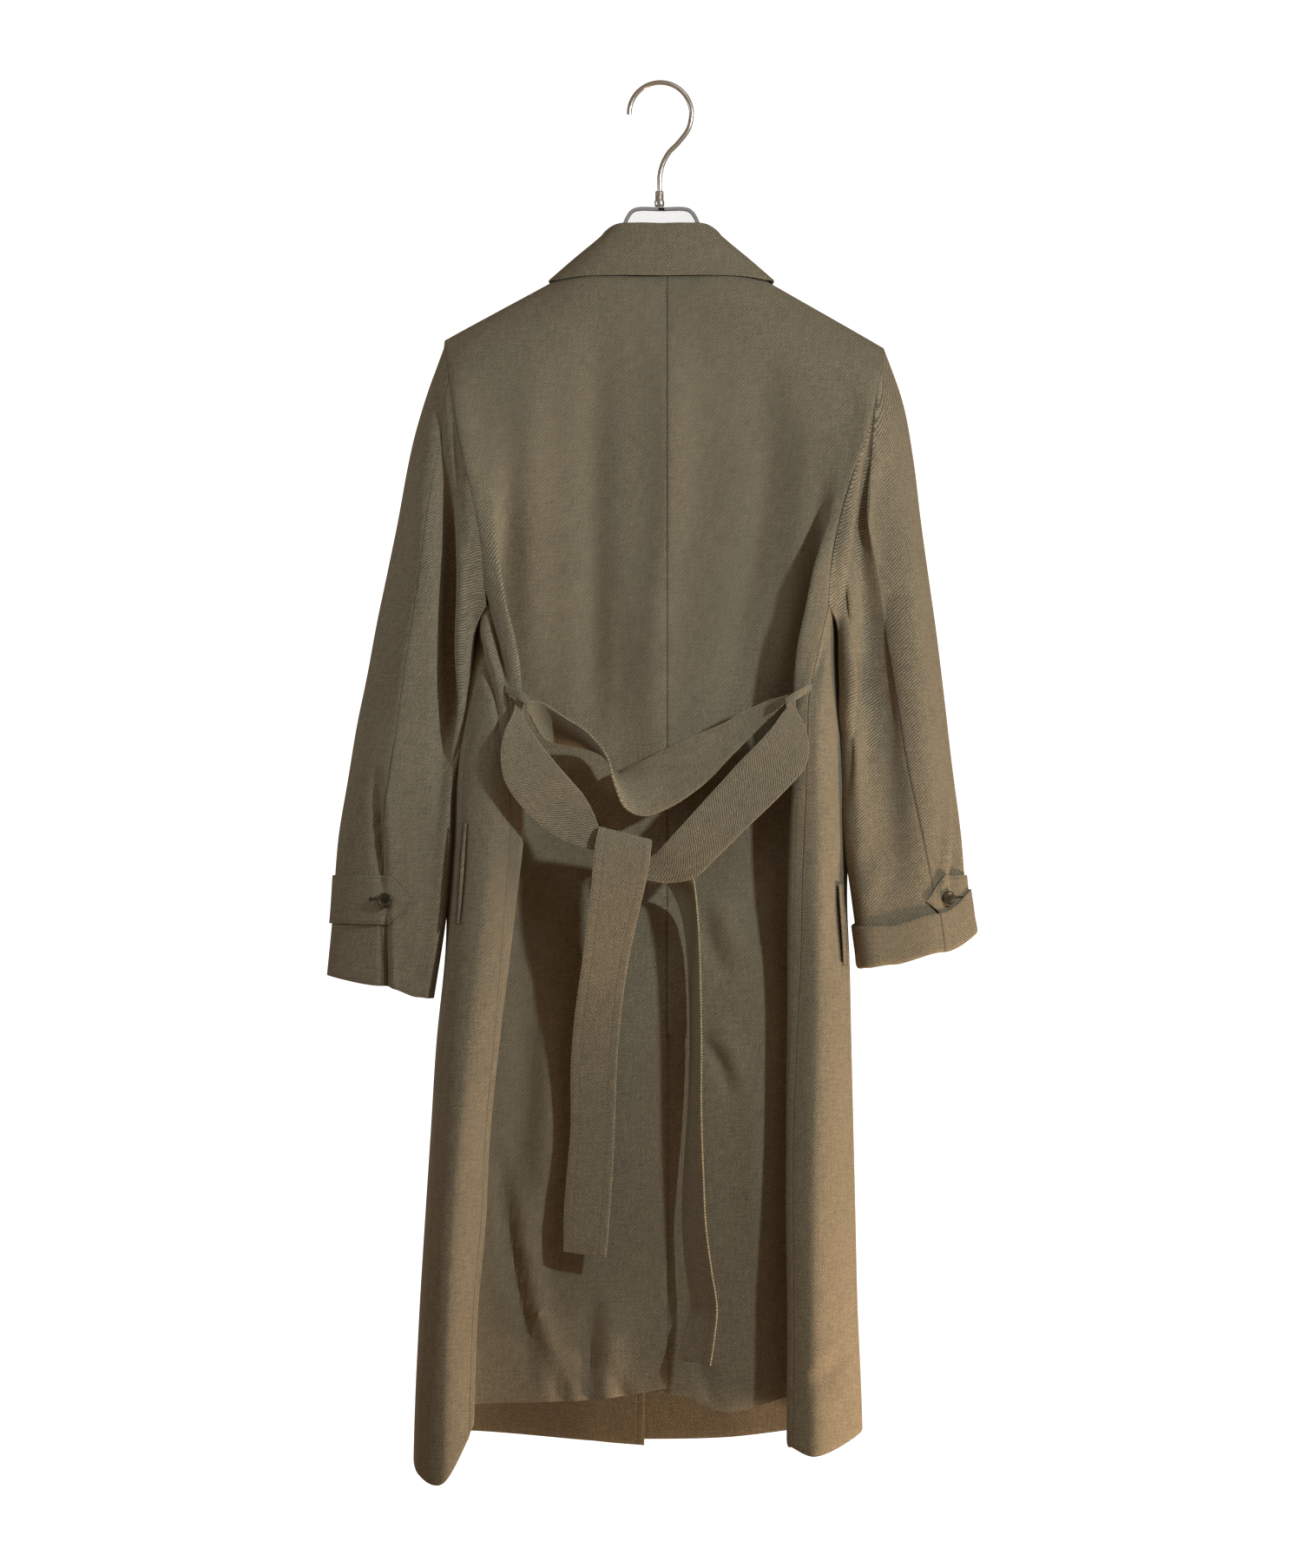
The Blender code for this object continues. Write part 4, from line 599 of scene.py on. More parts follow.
    def lower_grid(self, first, last):
        """Grid (row, column, 3) of the lower body between two stations."""
        share = refine(LOWER_ROWS)
        rows, columns = np.meshgrid(share, places(first, last), indexing="ij")
        z = UNDERARM_Z + (self.hem_height(columns) - UNDERARM_Z) * rows
        grid = curve_at(self.lower_stations(z.ravel()), columns.ravel())
        return grid.reshape(rows.shape + (3,))

    def full_grid(self, first, last):
        upper = self.upper_grid(first, last)
        return np.concatenate([upper, self.lower_grid(first, last)[1:]])

    def back_grid(self):
        """The back, with the vent's underlay running on under the other half."""
        grid = self.full_grid(0, SEAM)
        if self.sign > 0:
            place = places(0, SEAM)
            z = grid[:, :, 2]
            lap = unit((VENT_TOP_Z - z) / LAP_EASE)
            lap *= unit(1.0 - 3.0 * place)
            deep = unit((VENT_TOP_Z + STEP_START - z) / STEP_EASE)
            grid[:, :, 0] -= VENT_LAP * lap
            grid[:, :, 1] += VENT_STEP * deep * unit(1.0 - 1.5 * place)
        return grid

    def surface(self, place, z):
        """Points of the lower body at station places and heights."""
        return curve_at(self.lower_stations(z), place)

    def put(self, grid):
        """Points moved from the right-hand side to this half's own."""
        return grid * np.array([self.sign, 1.0, 1.0])


# ---- sleeves
def sleeve_loop():
    """Station place of each point round the armhole, and the seams' indices."""
    top = sum(STEPS[SEAM:SIDE]) * FINE
    back = refine(BACK_PLACES)[:-1]
    under = np.linspace(4.0, 5.0, top + 1)[:-1]
    front = refine(FRONT_PLACES)[::-1][:-1]
    hind = HIND_ROW * FINE
    fore = len(back) + top + (UPPER_COUNT - FORE_ROW) * FINE
    return np.concatenate([back, under, front]), hind, fore


def ring_height(heights, place):
    """Heights given at the stations of a ring, eased between them."""
    table = np.array(heights, dtype=float)
    low = np.floor(place).astype(int) % len(table)
    share = place - np.floor(place)
    ease = share * share * (3.0 - 2.0 * share)
    return table[low] + (table[(low + 1) % len(table)] - table[low]) * ease


class Sleeve:
    """A sleeve's smooth surface, addressed by station place and by height."""

    def __init__(self, half, table, cuff):
        self.half = half
        self.table = table
        self.cuff = cuff

    def surface(self, place, z):
        row = read_table(self.table, SLEEVE_COLUMNS, z)
        stations = np.stack([np.stack([row[name + "_x"], row[name + "_y"], z], axis=-1)
                             for name in SLEEVE_STATIONS])
        return curve_at(stations, place, closed=True)

    def grid(self):
        """Rings (row, point, 3) from the armhole down to the cuff."""
        place, _, _ = sleeve_loop()
        upper = self.half.upper_stations(refine(UPPER_ROWS))
        under = self.half.lower_grid(SEAM, SIDE)[0]
        start = np.concatenate([upper[SEAM][:-1], under[:-1], upper[SIDE][::-1][:-1]])
        shift = start - self.surface(place, start[:, 2])
        low = (unit((place - UNDER_SPAN[0]) / UNDER_EASE)
               * unit((UNDER_SPAN[1] - place) / UNDER_EASE))
        reach = HEAD_BLEND + (UNDER_BLEND - HEAD_BLEND) * low
        end = ring_height(self.cuff, place)
        rings = []
        for share in refine(SLEEVE_ROWS):
            z = start[:, 2] + (end - start[:, 2]) * share
            fade = unit(1.0 - share / reach)[:, None] ** 2
            rings.append(self.surface(place, z) + shift * fade)
        return np.array(rings)


def lifted(form, place, z, lift, reach=0.03):
    """Points at station places and heights, moved out along the form's normals."""
    turn = -1.0 if isinstance(form, Sleeve) else 1.0
    spot = form.surface(place, z)
    along = form.surface(place + reach, z) - form.surface(place - reach, z)
    normal = turn * np.cross(form.surface(place, z - 1.0) - spot, along)
    normal /= np.linalg.norm(normal, axis=-1, keepdims=True)
    return spot + normal * np.asarray(lift)[..., None], normal


# ---- shells
def grid_faces(rows, columns, wrap):
    across = columns if wrap else columns - 1
    i, j = np.meshgrid(np.arange(rows - 1), np.arange(across), indexing="ij")
    a = (i * columns + j).ravel()
    b = (i * columns + (j + 1) % columns).ravel()
    return np.stack([a, b, b + columns, a + columns], axis=-1)


class Shell:
    """A sheet: its grid of middle points, which way is out, and what it stands for."""

    def __init__(self, name, grid, out, wrap=False, thickness=CLOTH):
        self.name = name
        self.grid = grid
        self.smooth_grid = grid
        self.out = out
        self.wrap = wrap
        self.thickness = thickness
        self.stitch = None
        self.upright = name.startswith(("back_", "side_", "front_", "upper_", "under_"))

    def face_normals(self):
        rows, columns = self.grid.shape[:2]
        quads = grid_faces(rows, columns, self.wrap)
        flat = self.grid.reshape(-1, 3)
        one = flat[quads[:, 2]] - flat[quads[:, 0]]
        two = flat[quads[:, 3]] - flat[quads[:, 1]]
        return quads, np.cross(one, two) * self.out

    def cut(self):
        """Width, length and area of the sheet laid flat, in metres."""
        grid = self.grid
        if self.wrap:
            grid = np.concatenate([grid, grid[:, :1]], axis=1)
        across = np.linalg.norm(np.diff(grid, axis=1), axis=-1).sum(axis=1)
        down = np.linalg.norm(np.diff(grid, axis=0), axis=-1).sum(axis=0)
        area = np.linalg.norm(self.face_normals()[1], axis=-1).sum() / 2
        width = float(np.percentile(across, 85)) * MM
        length = float(down.max()) * MM
        return width, length, min(float(area) * MM * MM, width * length)


def hanging_uv(grid):
    """Weave map of an upright panel: level arc from its middle line, and height.

    Over the sloping top rows the length down the cloth stands in for the height.
    """
    u = arc_lengths(grid[..., :2])[0]
    middle = u.shape[1] // 2
    row = grid[len(grid) // 2, :, 0]
    u += np.sign(row[middle + 1] - row[middle]) * grid[:, middle, :1] - u[:, middle:middle + 1]
    v = -grid[..., 2]
    down = np.linalg.norm(np.diff(grid[:SHOULDER + 1], axis=0)[..., 1:], axis=-1)
    v[:SHOULDER] = v[SHOULDER] - np.cumsum(down[::-1], axis=0)[::-1]
    return np.stack([u, v], axis=-1) * MM


def weave_uv(grid):
    """Arc lengths across and down the sheet in metres, for the weave."""
    u, v = arc_lengths(grid)
    middle = u.shape[1] // 2
    run = np.repeat(v[:, middle:middle + 1], grid.shape[1], axis=1)
    return np.stack([u - u[:, middle:middle + 1], run], axis=-1) * MM


def shared_normals(shells):
    """Point normals of every shell, with the points of a common seam averaged."""
    points = np.concatenate([shell.grid.reshape(-1, 3) for shell in shells])
    _, index = np.unique(np.round(points * 200).astype(np.int64), axis=0, return_inverse=True)
    index = index.ravel()
    total = np.zeros((index.max() + 1, 3))
    start = 0
    for shell in shells:
        quads, normals = shell.face_normals()
        for corner in range(4):
            np.add.at(total, index[start + quads[:, corner]], normals)
        start += shell.grid.size // 3
    total /= np.linalg.norm(total, axis=1, keepdims=True)
    found = []
    start = 0
    for shell in shells:
        count = shell.grid.size // 3
        found.append(total[index[start:start + count]].reshape(shell.grid.shape))
        start += count
    return found


def new_mesh(name, verts, faces, material, sharp=None):
    mesh = bpy.data.meshes.new(name)
    mesh.from_pydata((np.asarray(verts) * MM).tolist(), [], [tuple(f) for f in faces])
    mesh.materials.append(material)
    mesh.shade_smooth()
    if sharp is not None:
        mesh.set_sharp_from_angle(angle=math.radians(sharp))
    obj = bpy.data.objects.new(name, mesh)
    bpy.context.scene.collection.objects.link(obj)
    return obj


def border_quads(rows, columns, wrap, count):
    """Quads that close the wall between the outer and the inner face."""
    pairs = []
    across = columns if wrap else columns - 1
    last = (rows - 1) * columns
    for j in range(across):
        k = (j + 1) % columns
        pairs.append((j, k))
        pairs.append((last + k, last + j))
    if not wrap:
        for i in range(rows - 1):
            pairs.append(((i + 1) * columns, i * columns))
            pairs.append((i * columns + columns - 1, (i + 1) * columns + columns - 1))
    return [(b, a, a + count, b + count) for a, b in pairs]


def rimmed(values, wrap):
    """Values (row, column, channel) with one more line of points RIM inside each border."""
    for axis in (0,) if wrap else (0, 1):
        values = np.moveaxis(values, axis, 0)
        lines = []
        for edge, inner in ((values[0], values[1]), (values[-1], values[-2])):
            length = np.linalg.norm(inner[:, :3] - edge[:, :3], axis=1, keepdims=True)
            lines.append(edge + (inner - edge) * np.minimum(RIM / np.maximum(length, 0.1), 0.5))
        values = np.concatenate([values[:1], lines[:1], values[1:-1], lines[1:], values[-1:]])
        values = np.moveaxis(values, 0, axis)
    return values


def make_shell(shell, normals, material):
    """The closed wall round a sheet, rounded at its borders, with weave and stitch maps."""
    weave = hanging_uv(shell.smooth_grid) if shell.upright else weave_uv(shell.grid)
    weave = weave * np.array([-shell.out, -1.0])
    stitch = np.full(weave.shape, FAR) if shell.stitch is None else shell.stitch
    values = rimmed(np.concatenate([shell.grid, normals, weave, stitch * MM], axis=-1), shell.wrap)
    rows, columns = values.shape[:2]
    count = rows * columns
    drop = np.zeros((rows, columns, 1))
    drop[[0, -1]] = EDGE_DROP
    if not shell.wrap:
        drop[:, [0, -1]] = EDGE_DROP
    middle = values[..., :3]
    lift = values[..., 3:6] * (shell.thickness / 2 - drop)
    verts = np.concatenate([(middle + lift).reshape(-1, 3), (middle - lift).reshape(-1, 3)])
    top = grid_faces(rows, columns, shell.wrap)
    quads = [tuple(q) for q in top.tolist()]
    quads += [tuple(q) for q in (top[:, ::-1] + count).tolist()]
    quads += border_quads(rows, columns, shell.wrap, count)
    if shell.out < 0:
        quads = [q[::-1] for q in quads]
    obj = new_mesh(shell.name + "_cloth", verts, quads, material, CLOTH_SHARP)
    order = np.empty(len(obj.data.loops), dtype=np.int32)
    obj.data.loops.foreach_get("vertex_index", order)
    for name, first in (("weave", 6), ("stitch", 8)):
        flat = np.concatenate([values[..., first:first + 2].reshape(-1, 2)] * 2)
        layer = obj.data.uv_layers.new(name=name)
        layer.data.foreach_set("uv", flat[order].astype(np.float32).ravel())
    return obj


def add_shell(shell, normals, material):
    obj = make_shell(shell, normals, material)
    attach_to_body(obj, "root")
    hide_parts(shell.name)
    return obj


def add_sheets(shells, material):
    """Build shells that meet, with their normals shared along common seams."""
    for shell, normals in zip(shells, shared_normals(shells)):
        obj = add_shell(shell, normals, material)
        width, length, area = shell.cut()


# ---- creases
def press(points, normals, creases):
    """Move points along their normals by soft creases that fade out at their ends.

    A crease is (side, depth, half width, its (x, z) points); side is -1 on the back
    and 1 on the front, and a negative depth is a trough.
    """
    flat = points.reshape(-1, 3)
    facing = normals.reshape(-1, 3)[:, 1]
    total = np.zeros(len(flat))
    for side, depth, width, line in creases:
        knots = [(x, 0.0, z) for x, z in line]
        spots = np.linspace(0.0, len(knots) - 1.0, CREASE_SAMPLES * len(knots))
        line = polyline_at(knots, spots)[:, [0, 2]]
        run = np.concatenate([[0.0], np.cumsum(np.linalg.norm(np.diff(line, axis=0), axis=1))])
        best = np.full(len(flat), 1e6)
        along = np.zeros(len(flat))
        for k in range(len(line) - 1):
            step = line[k + 1] - line[k]
            away = flat[:, [0, 2]] - line[k]
            share = unit(away @ step / (step @ step))
            gap = np.linalg.norm(away - share[:, None] * step, axis=1)
            along = np.where(gap < best, run[k] + share * (run[k + 1] - run[k]), along)
            best = np.minimum(gap, best)
        fade = unit(np.sin(math.pi * along / run[-1])) ** CREASE_ENDS
        total += (depth * fade * np.exp(-(best / width) ** 2)
                  * unit(CREASE_TURN * side * facing))
    return points + normals * total.reshape(points.shape[:2])[..., None]


CREASE_SAMPLES = 8      # samples for each point of a crease's line
CREASE_ENDS = 0.7       # below 1, a crease keeps its depth nearer to its ends
CREASE_TURN = 2.5       # how soon a crease fades where the cloth turns away
BODY_CREASES = (
    (-1, 8, 18, ((-116, -240), (-119, -400), (-117, -570))),
    (-1, -10, 17, ((-57, -220), (-60, -400), (-61, -600))),
    (-1, 10.5, 18, ((6, -215), (8, -380), (-3, -490), (-6, -630))),
    (-1, -10, 17, ((96, -240), (94, -380), (74, -490), (54, -600))),
    (-1, 6.5, 13, ((134, -290), (130, -380), (116, -480), (98, -570))),
    (-1, -0.9, 6, ((-40, -440), (-36, -520), (-40, -600))),
    (-1, -1.3, 7, ((148, -258), (164, -276), (176, -300))),
    (-1, -1.2, 7, ((176, -296), (166, -312), (150, -334))),
    (-1, 1, 8, ((160, -292), (150, -312), (140, -320))),
    (-1, -2.2, 4, ((-158, -462), (-160, -486))),
    (-1, -5.5, 3, ((-159, -470), (-148, -512), (-137, -552))),
    (-1, 2.6, 3, ((-164, -486), (-154, -520), (-143, -556))),
    (-1, -4.5, 3, ((-170, -488), (-161, -526), (-150, -562), (-144, -600))),
    (-1, -2.2, 3.5, ((156, -470), (150, -500), (142, -530), (134, -556))),
    (-1, 1.6, 5, ((150, -520), (143, -552), (140, -600), (141, -660))),
    (-1, -4, 7, ((36, -740), (43, -781), (60, -812))),
    (-1, 3.5, 9, ((52, -735), (62, -775), (80, -800))),
    (-1, -4.3, 6, ((34, -862), (50, -886), (58, -902), (66, -926))),
    (-1, 3.2, 9, ((48, -850), (64, -878), (74, -910))),
    (-1, -4, 14, ((-118, -820), (-122, -920), (-130, -1010))),
    (-1, 3.8, 12, ((-102, -830), (-106, -940), (-112, -1040))),
    (-1, -3.8, 10, ((-96, -990), (-98, -1040), (-92, -1090))),
    (-1, 3.5, 14, ((84, -900), (86, -1000), (88, -1100))),
    (-1, -6.5, 7, ((-148, -970), (-138, -1040), (-128, -1100), (-114, -1170))),
    (-1, 5, 8, ((-132, -990), (-122, -1060), (-110, -1120), (-98, -1180))),
    (-1, -6.2, 7, ((-124, -1110), (-106, -1150), (-92, -1185), (-86, -1220))),
    (-1, 5.4, 12, ((-122, -1105), (-104, -1145), (-88, -1200))),
    (-1, -5.6, 7, ((-60, -1090), (-65, -1160), (-66, -1215))),
    (-1, 6, 11, ((-45, -1100), (-46, -1150), (-48, -1210))),
    (-1, -5, 6, ((-50, -1160), (-42, -1178), (-26, -1200))),
    (-1, -4.6, 8, ((20, -1130), (34, -1160), (48, -1200))),
    (-1, -4, 7, ((166, -1150), (150, -1166), (132, -1172))),
    (-1, -2.7, 10, ((150, -700), (156, -760), (152, -830))),
    (1, -2, 22, ((-90, -340), (-96, -500), (-100, -640))),
    (1, 1.6, 20, ((-40, -380), (-44, -520), (-46, -680))),
    (1, -2, 22, ((84, -340), (92, -500), (96, -660))),
    (1, 1.6, 18, ((40, -420), (44, -560), (46, -700))),
    (1, -1.6, 16, ((60, -800), (70, -950), (84, -1120))),
    (1, 1.5, 18, ((112, -820), (120, -980), (130, -1140))),
    (1, -1.6, 16, ((-84, -820), (-96, -980), (-110, -1140))),
    (1, 1.4, 18, ((-30, -860), (-36, -1000), (-40, -1150))))
SLEEVE_CREASES = {"left": (
    (-1, -1.2, 5, ((-178, -338), (-180, -352), (-184, -368))),
    (-1, -10, 5.5, ((-207, -240), (-200, -330), (-193, -400), (-192, -450), (-194, -520),
                      (-188, -597), (-184, -660), (-182, -740))),
    (-1, 3, 4, ((-192, -300), (-184, -400), (-181, -450), (-183, -520), (-178, -590))),
    (-1, 4, 10, ((-226, -290), (-214, -400), (-210, -500), (-212, -600), (-208, -700))),
    (-1, -3.5, 14, ((-240, -400), (-248, -520), (-254, -620))),
    (-1, -7, 4.2, ((-259, -622), (-256, -680), (-253, -738))),
    (-1, 3, 5, ((-248, -636), (-246, -680), (-243, -724))),
    (-1, -6.5, 3.6, ((-249, -745), (-250, -790), (-247, -870))),
    (-1, 2.6, 3, ((-242.5, -745), (-242.5, -790), (-240, -870))),
    (1, -1.4, 9, ((-196, -520), (-224, -540), (-244, -534))),
    (1, -1.2, 8, ((-206, -600), (-232, -622), (-254, -616)))), "right": (
    (-1, -7, 5, ((190, -330), (184, -365), (176, -420), (168, -472), (176, -512),
                   (181, -547), (173, -597), (166, -660))),
    (-1, 4, 8, ((178, -350), (168, -405), (158, -450))),
    (-1, 5, 8, ((168, -495), (170, -530), (170, -556), (162, -590))),
    (-1, -10, 16, ((203, -330), (201, -420), (201, -500), (204, -570), (208, -650),
                     (212, -740))),
    (-1, 8, 13, ((208, -330), (219, -430), (231, -540), (243, -640), (250, -716))),
    (-1, -2.6, 6, ((205, -340), (198, -375), (196, -410))),
    (-1, -2.6, 7, ((216, -450), (207, -480), (200, -510))),
    (-1, 4, 4, ((258, -650), (257, -700), (253, -745))),
    (-1, -5, 5, ((267, -640), (266, -700), (262, -745))),
    (-1, -1.6, 9, ((196, -690), (184, -706), (178, -730))),
    (-1, 1.2, 10, ((206, -700), (196, -720), (186, -748))),
    (1, -1.4, 9, ((190, -500), (214, -520), (232, -512))),
    (1, -1.2, 8, ((196, -610), (222, -628), (246, -620))))}
TAIL_LEFT_CREASES = (
    (-1, -1.9, 5, ((-78, -788), (-62, -804), (-34, -820))),
    (-1, -2.4, 5, ((-90, -858), (-60, -882), (-34, -900))),
    (-1, -2.2, 5, ((-90, -936), (-64, -958), (-40, -978))),
    (-1, 1.8, 6, ((-90, -898), (-62, -920), (-36, -938))))
BAND_CREASES = (
    (-1, -2.2, 4, ((-14, -600), (-2, -628), (8, -656))),
    (-1, 1.8, 5, ((0, -598), (12, -626), (24, -652))),
    (-1, -1.9, 4, ((22, -590), (38, -614), (56, -632))),
    (-1, -1.4, 5, ((-98, -572), (-84, -584), (-62, -592))))


# ---- pieces of cloth
def strip_grid(rows, columns):
    """Grid of a strip between its two edges, which are given row by row."""
    table = np.array(rows, dtype=float)
    place = np.linspace(0.0, len(table) - 1.0, (len(table) - 1) * FINE + 1)
    first = polyline_at(table[:, :3], place)
    second = polyline_at(table[:, 3:], place)
    across = np.linspace(0.0, 1.0, columns + 1)
    return first[:, None] + (second - first)[:, None] * across[None, :, None]


def edge_stitch(grid, inset):
    """Stitch map of a strip sewn along both of its long edges."""
    u, v = arc_lengths(grid)
    return np.stack([v, np.minimum(u, u[:, -1:] - u) - inset], axis=-1)


def side_stitch(grid, inset, first=0):
    """Stitch map along the last column of a panel, from a given row down."""
    u, v = arc_lengths(grid[:, ::-1])
    away = np.where(np.arange(len(grid))[:, None] < first, FAR, u - inset)
    return np.stack([v, away], axis=-1)[:, ::-1]


def seam_map(grid, columns, head=False):
    """Stitch map of plain seams down the given columns, and along the first row."""
    u, v = arc_lengths(grid)
    away = np.min([np.abs(u - u[:, column][:, None]) for column in columns], axis=0)
    if head:
        away = np.minimum(away, v)
    return np.stack([np.full(u.shape, PLAIN_SEAM), away], axis=-1)


def edge_highlight_map(grid):
    """Map that marks the cut edge along the last row only, for its painted highlight."""
    v = arc_lengths(grid)[1]
    return np.stack([v, np.minimum(v[-1:] - v - EDGE_INSET, HIDDEN)], axis=-1)


def panel_map(shell):
    """The seams and stitch lines of a panel of the body or of a sleeve."""
    grid = shell.grid
    if shell.name.startswith("front_"):
        return side_stitch(grid, FRONT_INSET)
    if shell.name.startswith("back_"):
        centre = seam_map(grid, (0,))
        near = (centre[..., 1] < CENTRE_REACH) & (grid[..., 2] > VENT_TOP_Z)
        return np.where(near[..., None], centre,
                        side_stitch(grid, BACK_INSET, (UPPER_COUNT + 1) * FINE))
    found = seam_map(grid, (0, -1), head="sleeve" in shell.name)
    if shell.name.endswith("sleeve_left"):
        found[..., 1] *= np.where(grid[..., 2] > FAINT_Z, FAINT, 1.0)
    return found


def collar_grid(right, left):
    """Rows from the neck seam over the fold to the outer edge; columns left to right."""
    way = refine(COLLAR_WAYS)
    read = read_table(COLLAR_TABLE, COLLAR_COLUMNS, way)
    lines = {name: np.stack([read[name + axis] for axis in ("_x", "_y", "_z")], axis=-1)
             for name in ("fold", "hip", "edge")}
    fold = lines["fold"]
    out = fold * np.array([1.0, 1.0, 0.0])
    out /= np.linalg.norm(out, axis=1)[:, None]
    drop = np.array([0.0, 0.0, FOLD_DROP])
    stand_top = fold - out * FOLD_HALF - drop
    fall_top = fold + out * FOLD_HALF - drop
    sides = []
    for half in (right, left):
        back = half.upper_grid(0, 1)[0]
        front = half.upper_grid(LAST - 1, LAST)[0]
        spots = stepped((0.0, 1.0, 1.0 + 1.0 / FRONT_WAY), (len(back) - 1, len(front) - 1))
        line = np.concatenate([back, front[1:]])
        neck = np.stack([np.interp(way, spots, line[:, k]) for k in range(3)], axis=-1)
        neck[:, 2] += COLLAR_RISE
        waist = (neck + stand_top) / 2 + STAND_BULGE
        rows = np.stack([neck, waist, stand_top, fold, fall_top, lines["hip"], lines["edge"]])
        rows[:, 0, 0] = CENTRE_X * half.sign
        sides.append(half.put(rows))
    rows = np.concatenate([sides[1][:, ::-1], sides[0][:, 1:]], axis=1)
    return rows_at(rows, stepped((0, 2, 4, 6), (12, 16, 20)))


def strap_grid(sleeve, spots, shoulder, heights, creases):
    """A pointed strap round a sleeve, lying on it. The first place is its tip."""
    top, tip, bottom = heights
    base = np.arange(len(spots))
    place = np.interp(np.linspace(0.0, len(spots) - 1.0, 10 * (len(spots) - 1) + 1), base, spots)
    grow = np.clip((spots[0] - place) / (spots[0] - shoulder), BLUNT, 1.0)
    share = np.linspace(0.0, 1.0, 13)
    z = (tip + (top - tip) * grow[:, None] * unit(1 - 2 * share[None])
         + (bottom - tip) * grow[:, None] * unit(2 * share[None] - 1))
    spread = np.repeat(place[:, None], len(share), axis=1)
    grid, normal = lifted(sleeve, spread.ravel(), z.ravel(), np.full(z.size, STRAP_LIFT))
    grid = sleeve.half.put(grid.reshape(z.shape + (3,)))
    normal = sleeve.half.put(normal.reshape(z.shape + (3,)))
    return press(grid, normal, creases)


def turnup_grid(sleeve):
    """The turned-up end: from under the hem, out and up over the sleeve."""
    place, _, _ = sleeve_loop()
    hem = ring_height(sleeve.cuff, place)
    top = ring_height(TURNUP_TOP, place)
    lift = ring_height(TURNUP_LIFTS, place)
    rows = []
    for z, raised in ((hem - TURNUP_UNDER[0], TURNUP_UNDER[1] * np.ones_like(lift)),
                      (hem - TURNUP_FOLD[0], TURNUP_FOLD[1] * lift),
                      (hem + TURNUP_BAND, lift), (top, lift)):
        rows.append(lifted(sleeve, place, z, raised)[0])
    return sleeve.half.put(rows_at(np.array(rows), stepped((0, 1, 2, 3), (4, 6, 8))))


def welt_grid(half, ends):
    """A welt along the side of the body, its two lips with the opening between them."""
    z = np.linspace(ends[0], ends[1], 33)
    place = np.linspace(WELT_SPAN[0], WELT_SPAN[1], len(WELT_LIPS))
    rows, columns = np.meshgrid(place, z, indexing="ij")
    lift = WELT_LIFT + np.array(WELT_LIPS)[:, None] * np.sin(math.pi * np.linspace(0, 1, 33))
    grid, _ = lifted(half, rows.ravel(), columns.ravel(), lift.ravel())
    return half.put(grid.reshape(rows.shape + (3,)))


# ---- materials
class Nodes:
    """Short ways to add nodes to a material and join them."""

    def __init__(self, name):
        self.material = bpy.data.materials.new(name)
        self.material.use_nodes = True
        self.tree = self.material.node_tree
        self.shader = self.tree.nodes["Principled BSDF"]

    def add(self, kind, inputs, **settings):
        node = self.tree.nodes.new("ShaderNode" + kind)
        for key, value in settings.items():
            setattr(node, key, value)
        for key, value in inputs.items():
            self.join(value, node.inputs[key])
        return node

    def join(self, value, socket):
        if isinstance(value, bpy.types.NodeSocket):
            self.tree.links.new(value, socket)
        else:
            socket.default_value = value

    def math(self, operation, a, b=0.0, c=0.0):
        return self.add("Math", {0: a, 1: b, 2: c}, operation=operation).outputs[0]

    def times(self, a, b):
        return self.math("MULTIPLY", a, b)

    def scaled(self, value, factor, plus):
        return self.math("MULTIPLY_ADD", value, factor, plus)

    def place(self):
        return self.add("TexCoord", {}).outputs["Object"]

    def map_parts(self, name):
        """A map's value, and its two parts."""
        whole = self.add("UVMap", {}, uv_map=name).outputs[0]
        return whole, self.add("SeparateXYZ", {"Vector": whole}).outputs

    def noise(self, vector, scale, detail=2.0, rough=0.5, stretch=(1.0, 1.0, 1.0)):
        mapping = self.add("Mapping", {"Vector": vector, "Scale": stretch})
        return self.add("TexNoise", {"Vector": mapping.outputs[0], "Scale": scale,
                                     "Detail": detail, "Roughness": rough}).outputs[0]

    def band(self, value, low, high, a=0.0, b=1.0):
        """Eased ramp from a to b as value goes from low to high."""
        return self.add("MapRange", {"Value": value, "From Min": low, "From Max": high,
                                     "To Min": a, "To Max": b},
                        interpolation_type="SMOOTHSTEP").outputs[0]

    def blend(self, share, one, two):
        """A colour between two."""
        return self.add("Mix", {0: share, 6: one + (1.0,), 7: two + (1.0,)},
                        data_type="RGBA").outputs[2]

    def brighten(self, colour, factor):
        """A colour multiplied by a grey factor."""
        grey = self.add("CombineColor", {0: factor, 1: factor, 2: factor}).outputs[0]
        return self.add("Mix", {0: 1.0, 6: colour, 7: grey},
                        data_type="RGBA", blend_type="MULTIPLY").outputs[2]

    def bump(self, height, strength, distance, normal=None):
        inputs = {"Height": height, "Strength": strength, "Distance": distance}
        if normal is not None:
            inputs["Normal"] = normal
        return self.add("Bump", inputs).outputs[0]

    def set(self, **inputs):
        for key, value in inputs.items():
            self.join(value, self.shader.inputs[key.replace("_", " ")])


